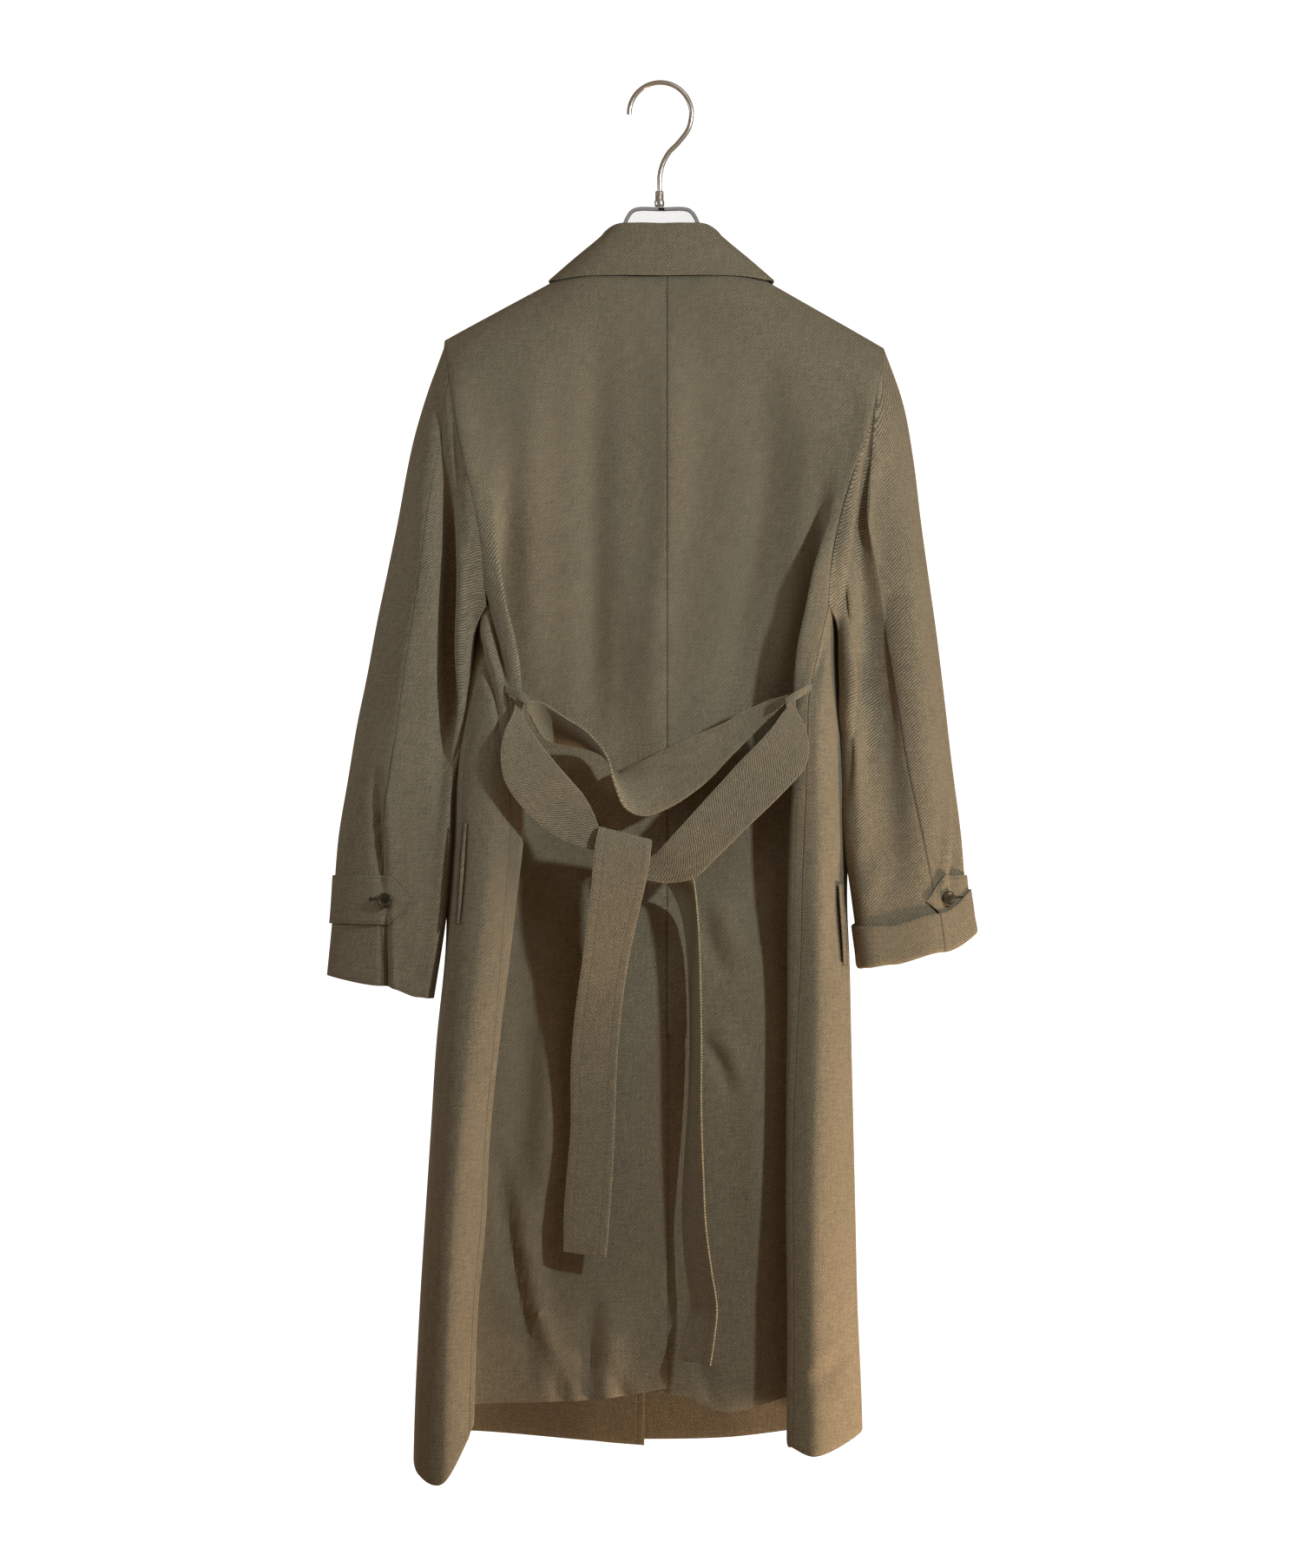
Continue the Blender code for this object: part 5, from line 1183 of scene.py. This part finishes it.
def twill(name, warp, weft):
    """Melange twill: warp and weft yarns, diagonal wales and stitch lines, with painted shade in
    the seam grooves and a painted highlight along the cut edges.
    """
    mat = Nodes(name)
    weave, place = mat.map_parts("weave")
    wander = mat.noise(weave, 240.0, 2.0)
    phase = mat.math("SUBTRACT", place[0], place[1])
    phase = mat.times(phase, 2.0 * math.pi / WALE)
    phase = mat.scaled(wander, 7.0, phase)
    wale = mat.scaled(mat.math("SINE", phase), 0.5, 0.5)
    fleck = mat.noise(weave, 620.0, 3.0, 0.7)
    slub = mat.noise(weave, 430.0, 2.0, 0.6, (0.20, 1.0, 1.0))
    streak = mat.noise(weave, 430.0, 2.0, 0.6, (1.0, 0.16, 1.0))
    dot = mat.band(mat.noise(weave, 780.0, 1.0), 0.60, 0.74)
    cloud = mat.noise(weave, 14.0, 3.0, 0.55)
    share = mat.band(mat.scaled(fleck, 0.6, mat.times(wale, 0.4)), 0.26, 0.74)
    colour = mat.blend(share, warp, weft)
    tone = mat.scaled(slub, 0.60, 0.70)
    tone = mat.scaled(streak, 0.60, mat.math("SUBTRACT", tone, 0.30))
    tone = mat.scaled(cloud, 0.20, mat.math("SUBTRACT", tone, 0.10))
    tone = mat.scaled(dot, 0.30, tone)
    run = mat.map_parts("stitch")[1]
    gap = mat.math("ABSOLUTE", run[1])
    seam = mat.band(run[0], -0.5, -0.3, 1.0, 0.0)
    groove = mat.band(gap, 0.0, 0.0016, 1.0, 0.0)
    dash = mat.math("FRACT", mat.times(run[0], 1.0 / STITCH))
    dash = mat.times(mat.band(dash, 0.0, 0.14), mat.band(dash, 0.70, 0.84, 1.0, 0.0))
    dash = mat.times(dash, mat.math("SUBTRACT", 1.0, seam))
    sewn = mat.times(mat.band(gap, 0.00022, 0.00045, 1.0, 0.0), dash)
    # Painted shade: the cloth is darkened within 1.6 mm of a seam line, most along plain seams.
    depth = mat.scaled(seam, -0.38, -0.10)
    tone = mat.times(tone, mat.scaled(groove, depth, 1.0))
    tone = mat.scaled(sewn, 0.10, tone)
    # Painted highlight: the cloth is lightened within about 1.4 mm of a cut edge.
    edge = mat.times(mat.band(run[1], -EDGE_INSET * MM, -0.0066, 1.0, 0.0),
                     mat.band(run[1], -0.02, -0.0199))
    tone = mat.scaled(edge, 0.30, tone)
    mat.set(Base_Color=mat.brighten(colour, tone))
    height = mat.scaled(groove, -0.5, mat.times(sewn, 0.5))
    normal = mat.bump(height, 0.5, 0.0007)
    fine = mat.scaled(wale, 0.6, fleck)
    normal = mat.bump(fine, 0.6, 0.00035, normal)
    mat.set(Normal=normal, Roughness=mat.scaled(fleck, 0.14, 0.80))
    mat.set(Specular_IOR_Level=0.22, Sheen_Weight=0.16, Sheen_Roughness=0.55,
            Sheen_Tint=(1.0, 0.93, 0.80, 1.0))
    return mat.material


def horn(name):
    """Dark button, marbled."""
    mat = Nodes(name)
    spot = mat.place()
    swirl = mat.noise(spot, 260.0, 4.0, 0.6, (1.0, 1.0, 0.35))
    fine = mat.noise(spot, 1800.0, 2.0)
    colour = mat.blend(mat.band(swirl, 0.35, 0.68), (0.030, 0.022, 0.012), (0.100, 0.074, 0.040))
    mat.set(Base_Color=mat.brighten(colour, mat.scaled(fine, 0.3, 0.85)),
            Roughness=mat.scaled(fine, 0.2, 0.36), Coat_Weight=0.1, Coat_Roughness=0.2,
            Normal=mat.bump(fine, 0.2, 0.0001))
    return mat.material


def thread(name):
    """Dark twisted sewing thread."""
    mat = Nodes(name)
    spot = mat.place()
    ply = mat.noise(spot, 3000.0, 2.0, 0.6, (1.0, 1.0, 4.0))
    mat.set(Base_Color=mat.brighten((0.030, 0.024, 0.014, 1.0), mat.scaled(ply, 0.8, 0.6)),
            Roughness=0.8, Normal=mat.bump(ply, 0.5, 0.0002))
    return mat.material


def clear(name, tint, through):
    """Moulded clear plastic, with faint scuffs."""
    mat = Nodes(name)
    spot = mat.place()
    scuff = mat.noise(spot, 130.0, 4.0, 0.65, (1.0, 1.0, 5.0))
    flow = mat.noise(spot, 24.0, 2.0, 0.5, (0.4, 1.0, 1.0))
    mat.set(Base_Color=mat.brighten(tint + (1.0,), mat.scaled(flow, 0.06, 0.95)),
            Roughness=mat.band(scuff, 0.45, 0.75, 0.04, 0.16), IOR=1.49,
            Transmission_Weight=through, Normal=mat.bump(flow, 0.12, 0.0012))
    return mat.material


def chrome(name):
    """Bright plated steel with faint drawing marks and dull patches."""
    mat = Nodes(name)
    spot = mat.place()
    dull = mat.noise(spot, 60.0, 3.0, 0.6)
    drawn = mat.noise(spot, 900.0, 2.0, 0.6, (1.0, 1.0, 0.12))
    mat.set(Base_Color=mat.brighten((0.80, 0.77, 0.72, 1.0), mat.scaled(dull, 0.2, 0.88)),
            Metallic=0.72, Roughness=mat.scaled(drawn, 0.14, 0.20),
            Normal=mat.bump(drawn, 0.08, 0.0002))
    return mat.material


def plain(name, colour, glow=0.0):
    """A dull surface of nearly even colour."""
    mat = Nodes(name)
    spot = mat.place()
    tone = mat.scaled(mat.noise(spot, 3.0, 3.0), 0.03, 0.985)
    mat.set(Base_Color=mat.brighten(colour + (1.0,), tone), Roughness=0.9,
            Emission_Color=colour + (1.0,), Emission_Strength=glow)
    return mat.material


# ---- hanger and buttons
def ring_faces(rings, count):
    """Quads of a closed tube of rings, with a flat face at each end."""
    faces = [tuple(range(count))]
    for ring in range(rings - 1):
        for k in range(count):
            a = ring * count + k
            b = ring * count + (k + 1) % count
            faces.append((a, a + count, b + count, b))
    faces.append(tuple(range(rings * count - 1, (rings - 1) * count - 1, -1)))
    return faces


def sweep(name, line, half_in, half_out, power, count, material):
    """A bar along a line in the plane Y = 0: half_in wide in the plane, half_out along Y."""
    line = np.asarray(line, dtype=float)
    along = np.gradient(line, axis=0)
    along /= np.linalg.norm(along, axis=1)[:, None]
    side = np.cross(along, (0.0, 1.0, 0.0))
    angle = 2 * math.pi * np.arange(count) / count
    cosine = np.sign(np.cos(angle)) * np.abs(np.cos(angle)) ** power
    sine = np.sign(np.sin(angle)) * np.abs(np.sin(angle)) ** power
    verts = (line[:, None] + side[:, None] * (half_in * cosine)[None, :, None]
             + np.array([0.0, 1.0, 0.0]) * (half_out * sine)[None, :, None])
    return new_mesh(name, verts.reshape(-1, 3), ring_faces(len(line), count), material, HARD_SHARP)


def hanger_outline(right, left):
    """Top line of the hanger from the left tip over the neck to the right tip."""
    line = []
    for half in (left, right):
        top = half.neck_line()
        start = top["mid"]
        slope = (top["edge"][2] - start[2]) / (top["edge"][0] - start[0])
        wing = [(x * half.sign, start[2] + slope * (x - NECK_X) - HANGER_UNDER)
                for x in HANGER_ARM_X]
        neck = [(x * half.sign, z) for x, z in HANGER_NECK]
        line += (wing[::-1] + neck[::-1]) if half.sign < 0 else (neck[1:] + wing)
    return np.array([(x, 0.0, z) for x, z in line])


def plate(name, top, bottom, half, material):
    """A flat web between two lines in the plane Y = 0; half is its half thickness."""
    rings = np.stack([top + (0, -half, 0), top + (0, half, 0),
                      bottom + (0, half, 0), bottom + (0, -half, 0)], axis=1)
    return new_mesh(name, rings.reshape(-1, 3), ring_faces(len(top), 4), material, PLATE_SHARP)


def lathe(profile, count):
    """Closed turned form about Z from (radius, height) rows, top to bottom."""
    angle = 2 * math.pi * np.arange(count) / count
    rings = [np.stack([r * np.cos(angle), r * np.sin(angle), np.full(count, h)], axis=-1)
             for r, h in profile]
    return np.concatenate(rings), ring_faces(len(profile), count)


def button(sleeve, name, place, flat, z, materials):
    """A four-hole button sewn to a strap; flat is the middle of the facet it lies on."""
    turn = np.array([sleeve.half.sign, 1.0, 1.0])
    wide = lifted(sleeve, np.array([flat]), np.array([z]), [0.0], reach=0.25)[1][0]
    base = lifted(sleeve, np.array([place]), np.array([z]), [STRAP_LIFT + CLOTH / 2])[0][0]
    base = (base + wide * BUTTON_LIFT) * turn
    normal = wide * turn
    across = np.cross((0.0, 0.0, 1.0), normal)
    across /= np.linalg.norm(across)
    up = np.cross(normal, across)
    verts = []
    faces = []
    kinds = []

    def attach(points, sides, kind):
        start = sum(len(group) for group in verts)
        verts.append(points)
        faces.extend(tuple(k + start for k in face) for face in sides)
        kinds.extend([kind] * len(sides))

    attach(*lathe(BUTTON_RIM, 48), 0)
    # The four holes are near-black discs: painted shade inside the holes.
    for x, y in ((-1, -1), (1, -1), (1, 1), (-1, 1)):
        hole, sides = lathe(BUTTON_HOLE, 16)
        attach(hole + (x * HOLE_OFFSET, y * HOLE_OFFSET, 0.0), sides, 1)
    for x in (-HOLE_OFFSET, HOLE_OFFSET):
        bar, sides = lathe(THREAD_BAR, 10)
        attach(bar[:, [0, 2, 1]] * (1, 1, 0.6) + (x, 0.0, THREAD_Z),
               [face[::-1] for face in sides], 2)
    local = np.concatenate(verts)
    placed = base + local[:, :1] * across + local[:, 1:2] * up + local[:, 2:] * normal
    obj = new_mesh(name, placed, faces, materials[0], HARD_SHARP)
    for extra in materials[1:]:
        obj.data.materials.append(extra)
    obj.data.polygons.foreach_set("material_index", kinds)
    return obj


def buttonhole(sleeve, name, span, z, material):
    """A worked buttonhole beside a button, with a bar of thread across its end."""
    turn = np.array([sleeve.half.sign, 1.0, 1.0])
    line, normal = lifted(sleeve, np.linspace(span[0], span[1], 9), np.full(9, z),
                          np.full(9, STRAP_LIFT + CLOTH / 2))
    line = line * turn
    normal = normal * turn
    angle = 2 * math.pi * np.arange(8) / 8
    cosine = np.cos(angle)[None, :, None]
    sine = np.sin(angle)[None, :, None]
    up = np.array([0.0, 0.0, 1.0])
    cord = line[:, None] + up * (CORD[0] * cosine) + normal[:, None] * (CORD[1] * sine)
    along = line[-1] - line[-2]
    along /= np.linalg.norm(along)
    height = np.linspace(-BAR_HALF, BAR_HALF, 5)[:, None, None]
    bar = line[-1] + up * height + along * (BAR[0] * cosine) + normal[-1] * (BAR[1] * sine)
    verts = np.concatenate([cord.reshape(-1, 3), bar.reshape(-1, 3)])
    first = len(line) * len(angle)
    faces = ring_faces(len(line), len(angle))
    faces += [tuple(k + first for k in face) for face in ring_faces(len(height), len(angle))]
    obj = new_mesh(name, verts, faces, material)
    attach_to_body(obj, "root")


def declare(obj, node):
    """Put a hard piece on the object's body, in place of its CAD node."""
    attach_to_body(obj, "root")
    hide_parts(node)


# ---- build
def panels(right, left, sleeves):
    """Shells of the body's and the sleeves' panels, and the creases of each."""
    shells = []
    creases = []
    for half, name in ((right, "right"), (left, "left")):
        out = -half.sign
        shells += [Shell("back_" + name, half.put(half.back_grid()), out),
                   Shell("side_" + name, half.put(half.lower_grid(SEAM, SIDE)), out),
                   Shell("front_" + name, half.put(half.full_grid(SIDE, LAST)), out)]
        creases += [BODY_CREASES] * 3
    _, hind, fore = sleeve_loop()
    for name, sleeve in sleeves.items():
        grid = sleeve.half.put(sleeve.grid())
        upper = np.concatenate([grid[:, fore:], grid[:, :hind + 1]], axis=1)
        out = sleeve.half.sign
        shells += [Shell("upper_sleeve_" + name, upper, out),
                   Shell("under_sleeve_" + name, grid[:, hind:fore + 1], out)]
        creases += [SLEEVE_CREASES[name]] * 2
    return shells, creases


def build_cloth(right, left, cloth):
    sleeves = {"right": Sleeve(right, SLEEVE_RIGHT, CUFF_RIGHT),
               "left": Sleeve(left, SLEEVE_LEFT, CUFF_LEFT)}
    shells, creases = panels(right, left, sleeves)
    for shell, normals, folds in zip(shells, shared_normals(shells), creases):
        shell.stitch = panel_map(shell)
        shell.grid = press(shell.grid, normals, folds)
    small = []
    for half, name in ((left, "left"), (right, "right")):
        grid = welt_grid(half, WELT_ENDS[name])
        welt = Shell("pocket_welt_" + name, grid, 1)
        # Painted shade darkens the opening between the welt's lips.
        opening_shade = seam_map(grid.transpose(1, 0, 2), (len(WELT_LIPS) // 2,))
        welt.stitch = opening_shade.transpose(1, 0, 2) * WELT_SEAM
        small.append(welt)
    for name, rows in (("left", LOOP_LEFT), ("right", LOOP_RIGHT)):
        small.append(Shell("belt_loop_" + name, strip_grid(rows, 4), 1))
    for shell in small:
        add_shell(shell, shared_normals([shell])[0], cloth)
    add_sheets(shells, cloth)

    collar = Shell("collar", collar_grid(right, left), -1)
    # The collar's outer edge gets the painted highlight.
    collar.stitch = edge_highlight_map(collar.grid)
    add_sheets([collar], cloth)
    for name, (spots, shoulder, heights) in STRAPS.items():
        grid = strap_grid(sleeves[name], spots, shoulder, heights, SLEEVE_CREASES[name])
        strap = Shell("cuff_strap_" + name, grid, 1)
        strap.stitch = edge_stitch(grid, STRAP_INSET)
        add_sheets([strap], cloth)
    turnup = Shell("cuff_turnup_right", turnup_grid(sleeves["right"]), 1, wrap=True)
    turnup.stitch = seam_map(turnup.grid, (sleeve_loop()[1],))
    add_sheets([turnup], cloth)
    for name, rows, rests, folds in (
            ("belt_upper", BELT_UPPER, "belt_loop_left_cloth", BAND_CREASES),
            ("belt_left", BELT_LEFT, "belt_loop_left_cloth", ()),
            ("belt_right", BELT_RIGHT, "belt_loop_right_cloth", ()),
            ("belt_tail_left", TAIL_LEFT, "belt_right_cloth", TAIL_LEFT_CREASES),
            ("belt_tail_right", TAIL_RIGHT, "belt_right_cloth", ())):
        grid = strip_grid(rows, 12)
        shell = Shell(name, grid, 1, thickness=BELT_CLOTH)
        shell.grid = press(grid, shared_normals([shell])[0], folds)
        # Belts get the painted highlight along both cut edges; only the tails show stitches.
        shell.stitch = edge_stitch(grid, EDGE_INSET)
        if not name.startswith("belt_tail"):
            shell.stitch[..., 1] = np.minimum(shell.stitch[..., 1], HIDDEN)
        add_sheets([shell], cloth)
    return sleeves


def build_hanger(right, left):
    outline = hanger_outline(right, left)
    spots = np.linspace(0.0, len(outline) - 1.0, 8 * (len(outline) - 1) + 1)
    top = polyline_at(outline, spots)
    # The rim is the web's clear plastic with a darker grey tint and less transmission: painted
    # shade for clear plastic seen edge-on.
    rim = sweep("hanger_rim", top - (0, 0, BAR_DROP), BAR_WIDTH, BAR_DEPTH, BAR_SQUARE, 20,
                clear("clear_rim_edge_shade", (0.40, 0.41, 0.42), 0.55))
    declare(rim, "hanger_body")
    low = top.copy()
    low[:, 2] = np.where(np.abs(top[:, 0]) < HANGER_NECK_X,
                         np.minimum(HANGER_PANE_Z, top[:, 2] - WEB_LEAST),
                         top[:, 2] - HANGER_HEIGHT + WEB_INSET)
    web = plate("hanger_web", top - (0, 0, WEB_DROP), low, WEB_HALF,
                clear("clear_pane", (0.88, 0.91, 0.94), 0.90))
    declare(web, "hanger_body")
    # The wire's end in the neck bar is a near-black plate: its colour is painted shade for the
    # dark slot.
    line = np.array([(x, 0.0, STUB_Z) for x in np.linspace(-STUB_HALF, STUB_HALF, 7)])
    stub = plate("hook_stub", line, line - (0, 0, STUB_HEIGHT), HANGER_HALF - 0.1,
                 plain("stub_painted_shade", (0.012, 0.011, 0.010)))
    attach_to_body(stub, "root")


def build_hook():
    metal = chrome("plated_steel")
    turn = np.radians(np.linspace(*HOOK_ANGLES, 61))
    arc = np.stack([HOOK_RADIUS * np.cos(turn) - HOOK_SHIFT, np.zeros(61),
                    WIRE_RADIUS - HOOK_RADIUS + HOOK_RADIUS * np.sin(turn)], axis=-1)
    stations = np.concatenate([arc[[-4, -1]], [(x, 0.0, z) for x, z in HOOK_NECK]])
    tail = polyline_at(stations, np.linspace(1.0, len(stations) - 1.0, 8 * len(stations)))[1:]
    hook = sweep("hook_wire", np.concatenate([arc, tail]), WIRE_RADIUS, WIRE_RADIUS, 1.0, 24,
                 metal)
    declare(hook, "hanger_hook")
    verts, faces = lathe(FERRULE, 40)
    ferrule = new_mesh("hook_ferrule", verts + (HOOK_NECK[-1][0], 0.0, FERRULE_TOP_Z), faces,
                       metal, HARD_SHARP)
    declare(ferrule, "hanger_ferrule")


def build_buttons(sleeves):
    sewing = thread("sewing")
    # The holes' near-black colour is painted shade.
    parts = (horn("dark_horn"), plain("button_hole_shade", (0.004, 0.003, 0.002)), sewing)
    for name, (place, flat, z, _, _) in BUTTONS.items():
        disc = button(sleeves[name], "button_" + name + "_disc", place, flat, z, parts)
        declare(disc, "button_" + name)
    for name, (_, _, _, span, z) in BUTTONS.items():
        buttonhole(sleeves[name], "buttonhole_" + name, span, z, sewing)


def add_light(name, spot, target, size, power, colour, spread):
    lamp = bpy.data.lights.new(name, "AREA")
    lamp.shape = "DISK"
    lamp.size = size
    lamp.energy = power
    lamp.color = colour
    lamp.spread = math.radians(spread)
    obj = bpy.data.objects.new(name, lamp)
    obj.location = spot
    obj.rotation_euler = (Vector(target) - Vector(spot)).to_track_quat("-Z", "Y").to_euler()
    bpy.context.scene.collection.objects.link(obj)


def build_studio():
    scene = bpy.context.scene
    corners = ((-1, -1), (1, -1), (1, 1), (-1, 1))
    ground = [(x * FLOOR_HALF, y * FLOOR_HALF, FLOOR_Z) for x, y in corners]
    upright = [(x * WALL_HALF, WALL_Y, WALL_SPAN[y > 0]) for x, y in corners]
    floor = new_mesh("studio_floor", ground, [(0, 1, 2, 3)],
                     plain("floor_pale", (0.80, 0.79, 0.77)))
    wall = new_mesh("studio_wall", upright, [(0, 1, 2, 3)],
                    plain("wall_white", (1.0, 1.0, 1.0), 1.05))
    for light in LIGHTS:
        add_light(*light)
    world = bpy.data.worlds.new("studio")
    world.use_nodes = True
    sky = world.node_tree.nodes["Background"]
    sky.inputs[0].default_value = AMBIENT_COLOUR
    sky.inputs[1].default_value = AMBIENT
    scene.world = world
    lens = bpy.data.cameras.new("camera")
    lens.sensor_fit = "HORIZONTAL"
    lens.angle = 2.0 * math.atan(FRAME_WIDTH / 2.0 / CAMERA_AWAY)
    camera = bpy.data.objects.new("camera", lens)
    camera.location = CAMERA_SPOT
    camera.rotation_euler = (math.radians(90.0), 0.0, 0.0)
    scene.collection.objects.link(camera)
    scene.camera = camera
    scene.view_settings.view_transform = "Standard"


right_half = Half(1.0, UPPER_RIGHT, LOWER_RIGHT, HEM_RIGHT)
left_half = Half(-1.0, UPPER_LEFT, LOWER_LEFT, HEM_LEFT)
coat_sleeves = build_cloth(right_half, left_half,
                           twill("wool_twill", (0.155, 0.130, 0.091), (0.385, 0.326, 0.233)))
build_hanger(right_half, left_half)
build_hook()
build_buttons(coat_sleeves)
build_studio()
